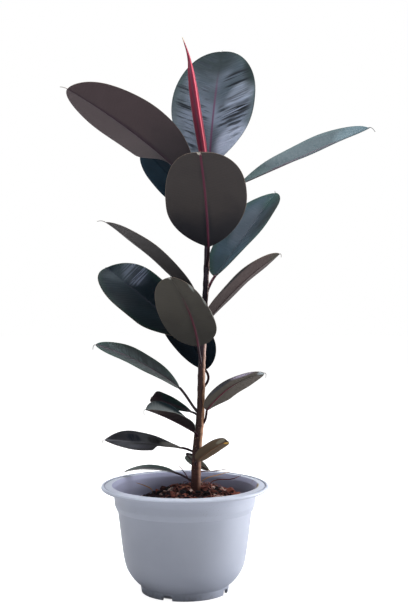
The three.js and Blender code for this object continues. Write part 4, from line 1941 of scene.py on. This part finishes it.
    def bed(self) -> Object:
        """Builds the body of the mix, down to the pot's floor, with a plain hole for the stem.

        Returns:
            The body.
        """
        low_wall = [point for point in self.pot.inside()[::-1] if point[1] < self.top_at_wall - 3]
        rim = self.rim_radius()
        bottom = self.pot.floor_top + self.gap
        profile = [
            (0, bottom),
            (self.pot.foot_inside - self.gap, bottom),
            *((radius - self.gap, height) for radius, height in low_wall),
            *((rim * (1 - ring / self.rings), self.top_at_wall) for ring in range(self.rings + 1)),
        ]
        mesh = spin_profile(profile, self.steps)
        pick = mesh.verts.layers.float["edge"]
        for vert in mesh.verts:
            local = (vert.co - POT_AXIS) / MM
            vert[pick] = self.bed_pick
            if local.z > self.top_at_wall - 0.01 and local.xy.length < rim - 1:
                rough = self.roughness * noise.noise(local * 0.35)
                rough += self.fine_roughness * noise.noise(local * 0.9)
                vert.co = in_frame(self.on_mound(local.x, local.y, rough - self.bed_drop))
        bed = bare_object("husk_bed", mesh, crease=80)
        carve(bed, [self.room()])
        return bed

    def scatter(self, draw: random.Random, reach: float) -> Vector:
        """Draws a place on the mound, closer to the stem than to the wall more often than not.

        Args:
            draw: The random numbers.
            reach: The greatest distance from the pot's axis.

        Returns:
            The place.
        """
        turn = draw.random() * TAU
        away = self.nearest + (reach - self.nearest) * draw.random() ** self.crowding
        centre = self.stem.foot.x * (1 - away / reach)
        return self.on_mound(centre + away * math.cos(turn), away * math.sin(turn))

    def add_chip(self, mesh: BMesh, draw: random.Random) -> None:
        """Adds one flat chip of husk somewhere on the mound, but not before the stem's foot.

        Args:
            mesh: The mesh of the chips.
            draw: The random numbers.
        """
        place = self.scatter(draw, self.chip_reach)
        right, back = place.x - self.stem.foot.x, place.y - self.stem.foot.y
        if abs(right) < self.clear_side and -self.clear_front < back < self.clear_back:
            return
        near = 1 - place.xy.length / self.chip_fall
        length = blend(*self.chip_length, draw.random() * near)
        width = blend(*self.chip_width, draw.random())
        size = (length, width, blend(*self.chip_thickness, draw.random()))
        place.z += blend(*self.chip_lift, draw.random())
        self.add_block(mesh, draw, place, size, draw.random())

    def add_block(
        self,
        mesh: BMesh,
        draw: random.Random,
        place: Vector,
        size: Triple,
        tint: float,
    ) -> None:
        """Adds one block of husk with broken corners, turned and tilted by chance.

        Args:
            mesh: The mesh of the chips.
            draw: The random numbers.
            place: The block's middle.
            size: Its length, width and thickness.
            tint: Its colour's pick.
        """
        pick = mesh.verts.layers.float["edge"]
        shape = Matrix.Rotation(draw.random() * TAU, 4, "Z")
        for axis in "XY":
            shape = shape @ Matrix.Rotation(draw.gauss(0, self.tilt), 4, axis)
        shape = shape @ Matrix.Diagonal((*size, 1))
        made = bmesh.ops.create_cube(mesh, size=1)["verts"]
        for vert in made:
            off = Vector(draw.uniform(-self.break_off, self.break_off) for _ in range(3))
            vert.co = vert.co + off
        links = list({link for vert in made for link in vert.link_edges})
        for vert in round_off(mesh, links, self.blunt, 1):
            vert.co = in_frame(shape @ vert.co + place)
            vert[pick] = tint

    def add_crumb(self, mesh: BMesh, draw: random.Random) -> None:
        """Adds one small crumb somewhere on the mound.

        Args:
            mesh: The mesh of the chips.
            draw: The random numbers.
        """
        pick = mesh.verts.layers.float["edge"]
        place = self.scatter(draw, self.crumb_reach)
        size = blend(*self.crumb_size, draw.random())
        made = bmesh.ops.create_icosphere(mesh, subdivisions=1, radius=1)["verts"]
        tint = draw.random()
        stretch = Vector(draw.uniform(*reach) for reach in self.crumb_shape)
        turn = Matrix.Rotation(draw.random() * TAU, 3, "Z")
        for vert in made:
            vert.co = in_frame(turn @ (vert.co * stretch) * size + place)
            vert[pick] = tint

    @staticmethod
    def add_strand(
        mesh: BMesh,
        points: Sequence[Sequence[float]],
        radius: float,
        pick: float,
        taper: float = 0.65,
    ) -> None:
        """Adds one strand.

        Args:
            mesh: The mesh of the strands.
            points: The points that it runs through.
            radius: Its radius in the middle.
            pick: Its colour's pick.
            taper: How much thinner its ends are.
        """
        curve = SmoothLine(points)

        def spot(around: float, along: float) -> Spot:
            """Gives one point of the strand's skin.

            Args:
                around: The share of the way round.
                along: The share of the way along.

            Returns:
                The point, its place mark and its edge distance.
            """
            heading = curve.heading(along)
            side = heading.cross(UP if abs(heading.z) < 0.9 else Vector((1, 0, 0))).normalized()
            other = heading.cross(side)
            thin = radius * (1 - taper * abs(2 * along - 1) ** 2)
            angle = around * TAU
            point = curve.at(along) + (side * math.cos(angle) + other * math.sin(angle)) * thin
            return in_frame(point), Vector((0, 0, along)), pick

        wrap(mesh, 6, 3 * len(points) + 2, spot)

    def loose_fibre(self, draw: random.Random, steps: int = 4) -> list[Vector]:
        """Draws one fibre that lies on the mound in a low arch.

        Args:
            draw: The random numbers.
            steps: The stretches between its points.

        Returns:
            Those of its points that lie inside the pot's wall.
        """
        here = self.scatter(draw, self.fibre_reach)
        turn = draw.random() * TAU
        length = blend(*self.fibre_length, draw.random())
        bend = draw.gauss(0, self.fibre_bend)
        arch = blend(*self.fibre_arch, draw.random() ** 2)
        points = []
        for step in range(steps + 1):
            lift = arch * math.sin(math.pi * step / steps) + self.fibre_lift
            if here.xy.length < self.rim_radius() - self.fibre_margin:
                points.append(self.on_mound(here.x, here.y, lift))
            turn += bend
            here = here + Vector((math.cos(turn), math.sin(turn), 0)) * length / steps
        return points

    def stem_root(self, draw: random.Random, number: int) -> list[Vector]:
        """Draws one root that leaves the foot of the stem and dips into the mix.

        Args:
            draw: The random numbers.
            number: The root's place round the stem.

        Returns:
            Its points.
        """
        turn = (number + draw.random()) * TAU / self.roots
        away = Vector((math.cos(turn), math.sin(turn), 0))
        side = Vector((-away.y, away.x, 0)) * draw.gauss(0, self.root_spread)
        high = draw.uniform(*self.root_height) * (self.front_roots if away.y < -0.4 else 1)
        points = []
        for reach, lift in ((4, high), (11, high + 1), (20, high * 0.8), (self.root_end, -3)):
            place = self.stem.foot + away * reach + side * (reach / self.root_end) ** 2
            points.append(self.on_mound(place.x, place.y, lift))
        return points

    def loose_chips(self, draw: random.Random) -> Object:
        """Builds the chips, the crumbs and the chunks.

        Args:
            draw: The random numbers.

        Returns:
            All of them as one piece.
        """
        mesh = new_mesh()
        for _ in range(self.chips):
            self.add_chip(mesh, draw)
        for _ in range(self.crumbs):
            self.add_crumb(mesh, draw)
        for x, y, lift, length, tint in self.chunks:
            size = tuple(length * share for share in self.chunk_shape)
            self.add_block(mesh, draw, self.on_mound(x, y, lift), size, tint)
        return bare_object("husk_chips", mesh, crease=20)

    def loose_strands(self, draw: random.Random) -> Object:
        """Builds the fibres, the stem's roots and the placed strands.

        Args:
            draw: The random numbers.

        Returns:
            All of them as one piece.
        """
        mesh = new_mesh()
        for _ in range(self.fibres):
            points = self.loose_fibre(draw)
            if len(points) > 2:
                pick = draw.random() * self.fibre_pick
                self.add_strand(mesh, points, Strand.FIBRE.value[0], pick)
        for number in range(self.roots):
            points = self.stem_root(draw, number)
            self.add_strand(mesh, points, Strand.ROOT.value[0], draw.uniform(*self.root_pick))
        for kind, points in self.placed:
            self.add_strand(mesh, points, *kind.value)
        return bare_object("husk_strands", mesh)

    def build(self) -> list[Object]:
        """Builds the bed and everything loose on it.

        Returns:
            The bed, the chips and the strands.
        """
        draw = random.Random(self.seed)
        bed = HuskFinish("husk_bed_skin", "#0c0809", "#24161a", "#3c241c", 0.0012)
        chip = HuskFinish("husk_chip_skin", "#120b0e", "#8c4e40", "#c4aaa0", 0.0006)
        strand = HuskFinish("husk_strand_skin", "#3e201c", "#bc7c70", "#c79a5a", 0.0003)
        return [
            dress(self.bed(), bed.material(), ["potting_mix"]),
            dress(self.loose_chips(draw), chip.material()),
            dress(self.loose_strands(draw), strand.material()),
        ]


# ---------- studio ----------


class Effect(Enum):
    """What a light acts on: matte surfaces, gloss or both."""

    MATTE = "matte"
    GLOSS = "gloss"
    BOTH = "both"


@dataclass(frozen=True)
class SoftBox:
    """One soft light: where it stands, its size in metres, power, colour and what it acts on."""

    name: str
    place: Triple
    size: tuple[float, float]
    power: float
    colour: Triple
    acts_on: Effect = Effect.BOTH

    def build(self, target: Vector) -> None:
        """Puts the light in the scene.

        Args:
            target: The point that it faces.
        """
        data = bpy.data.lights.new(self.name, "AREA")
        data.shape = "RECTANGLE"
        data.size, data.size_y = self.size
        data.energy = self.power
        data.color = self.colour
        light = linked(self.name, data)
        light.visible_glossy = self.acts_on is not Effect.MATTE
        light.visible_diffuse = self.acts_on is not Effect.GLOSS
        light.location = self.place
        light.rotation_euler = (target - light.location).to_track_quat("-Z", "Y").to_euler()


@dataclass
class Studio:
    """The camera at the photograph's viewing angle, soft lights and a plain pale floor."""

    camera_from_axis: Triple = (28.4, -1472, 392.5)
    target_from_axis: Triple = (28, 0, 400)
    lens: float = 58
    rise: float = 0.0343  # the lens shift that puts the horizon below the middle of the picture
    clip: Pair = (0.05, 60)
    floor_radius: float = 40
    floor_sides: int = 96
    floor_body: Colour = "#a8a8aa"
    floor_near: Colour = "#505052"  # its glow as a light, near the plant
    # painted shadow: how the floor looks under the pot
    floor_shadow_under_pot: Colour = "#26272c"  # its glow as it looks, under the pot
    floor_far: Colour = "#fafafa"
    white: Colour = "#ffffff"
    seen: float = 1.0  # how bright the surroundings look
    sides: float = 0.14  # how bright they are as a light, at the sides and in front
    above: float = 0.2
    behind: float = 0.7
    boxes: tuple[SoftBox, ...] = (
        SoftBox(
            "front_left_window", (-0.95, -1.15, 2.2), (2, 1.5), 34, (0.74, 0.8, 1), Effect.GLOSS
        ),
        SoftBox("back_window", (-0.06, 1, 2.1), (0.35, 0.7), 1.3, (0.86, 0.92, 1), Effect.GLOSS),
        SoftBox("right_window", (1.9, 0.5, 0.36), (1.1, 0.7), 52, (0.98, 0.98, 1)),
        SoftBox("matte_fill", (0.05, 0.1, 2.7), (2, 2), 190, (1, 1, 1), Effect.MATTE),
    )

    def camera(self) -> None:
        """Makes the camera, level and facing the back."""
        data = bpy.data.cameras.new("studio_camera")
        data.lens = self.lens
        data.shift_y = self.rise
        data.clip_start, data.clip_end = self.clip
        camera = linked("studio_camera", data)
        camera.location = in_frame(Vector(self.camera_from_axis))
        camera.rotation_euler = (math.radians(90), 0, 0)
        bpy.context.scene.camera = camera

    def floor(self) -> None:
        """Makes the plain pale floor, which glows far from the plant, where no light reaches it."""
        mesh = bmesh.new()
        bmesh.ops.create_circle(
            mesh, cap_ends=True, segments=self.floor_sides, radius=self.floor_radius
        )
        data = bpy.data.meshes.new("studio_floor")
        mesh.to_mesh(data)
        mesh.free()
        graph = Finish("floor_paint")
        away = graph.from_axis()[3]
        as_light = graph.mix(self.floor_near, self.white, away.step(0.2, 2.4))
        # as it looks: a painted shadow under the pot, pale elsewhere
        as_seen = graph.mix(self.floor_shadow_under_pot, self.floor_far, away.step(0.05, 0.058))
        graph.set(
            Base_Color=self.floor_body,
            Roughness=0.9,
            Specular_IOR_Level=0.0,
            Emission_Color=graph.mix(as_light, as_seen, graph.seen()),
            Emission_Strength=1.0,
        )
        data.materials.append(graph.material)
        floor = linked("studio_floor", data)

    def world(self) -> None:
        """Makes the surroundings, pale to look at and brightest above and behind as a light."""
        world = bpy.data.worlds.new("studio_world")
        world.use_nodes = True
        graph = Graph(world.node_tree)
        _, back, up = graph.split(graph.node("ShaderNodeTexCoord").outputs["Generated"])
        low_behind = back.step(0.25, 0.8) * (1 - up.step(0.12, 0.45))
        light = self.sides + up.step(0.75, 1.0) * (self.above - self.sides)
        light = light + low_behind * (self.behind - self.sides)
        strength = light + graph.seen() * (self.seen - light)
        inputs = {"Color": self.white, "Strength": strength}
        sky = graph.node("ShaderNodeBackground", inputs=inputs)
        graph.node("ShaderNodeOutputWorld", inputs={"Surface": sky.outputs[0]})
        bpy.context.scene.world = world

    def build(self) -> None:
        """Sets up the studio."""
        self.camera()
        self.floor()
        self.world()
        for box in self.boxes:
            box.build(in_frame(Vector(self.target_from_axis)))
        bpy.context.scene.view_settings.view_transform = "Standard"


def main() -> None:
    """Builds the plant piece by piece."""
    logging.basicConfig(level=logging.INFO, format="%(name)s: %(message)s")
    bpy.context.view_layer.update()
    Studio().build()
    pot = PlantPot()
    stem = Stem()
    made = [
        *pot.build(),
        *HuskMix(pot, stem).build(),
        *stem.build([leaf.node for leaf in LEAVES]),
        *BudSheath().build(),
        *(leaf.build(stem, index) for index, leaf in enumerate(LEAVES)),
    ]
    for piece in made:
        log.info("%s has %d faces", piece.name, len(piece.data.polygons))


if __name__ == "__main__":
    main()
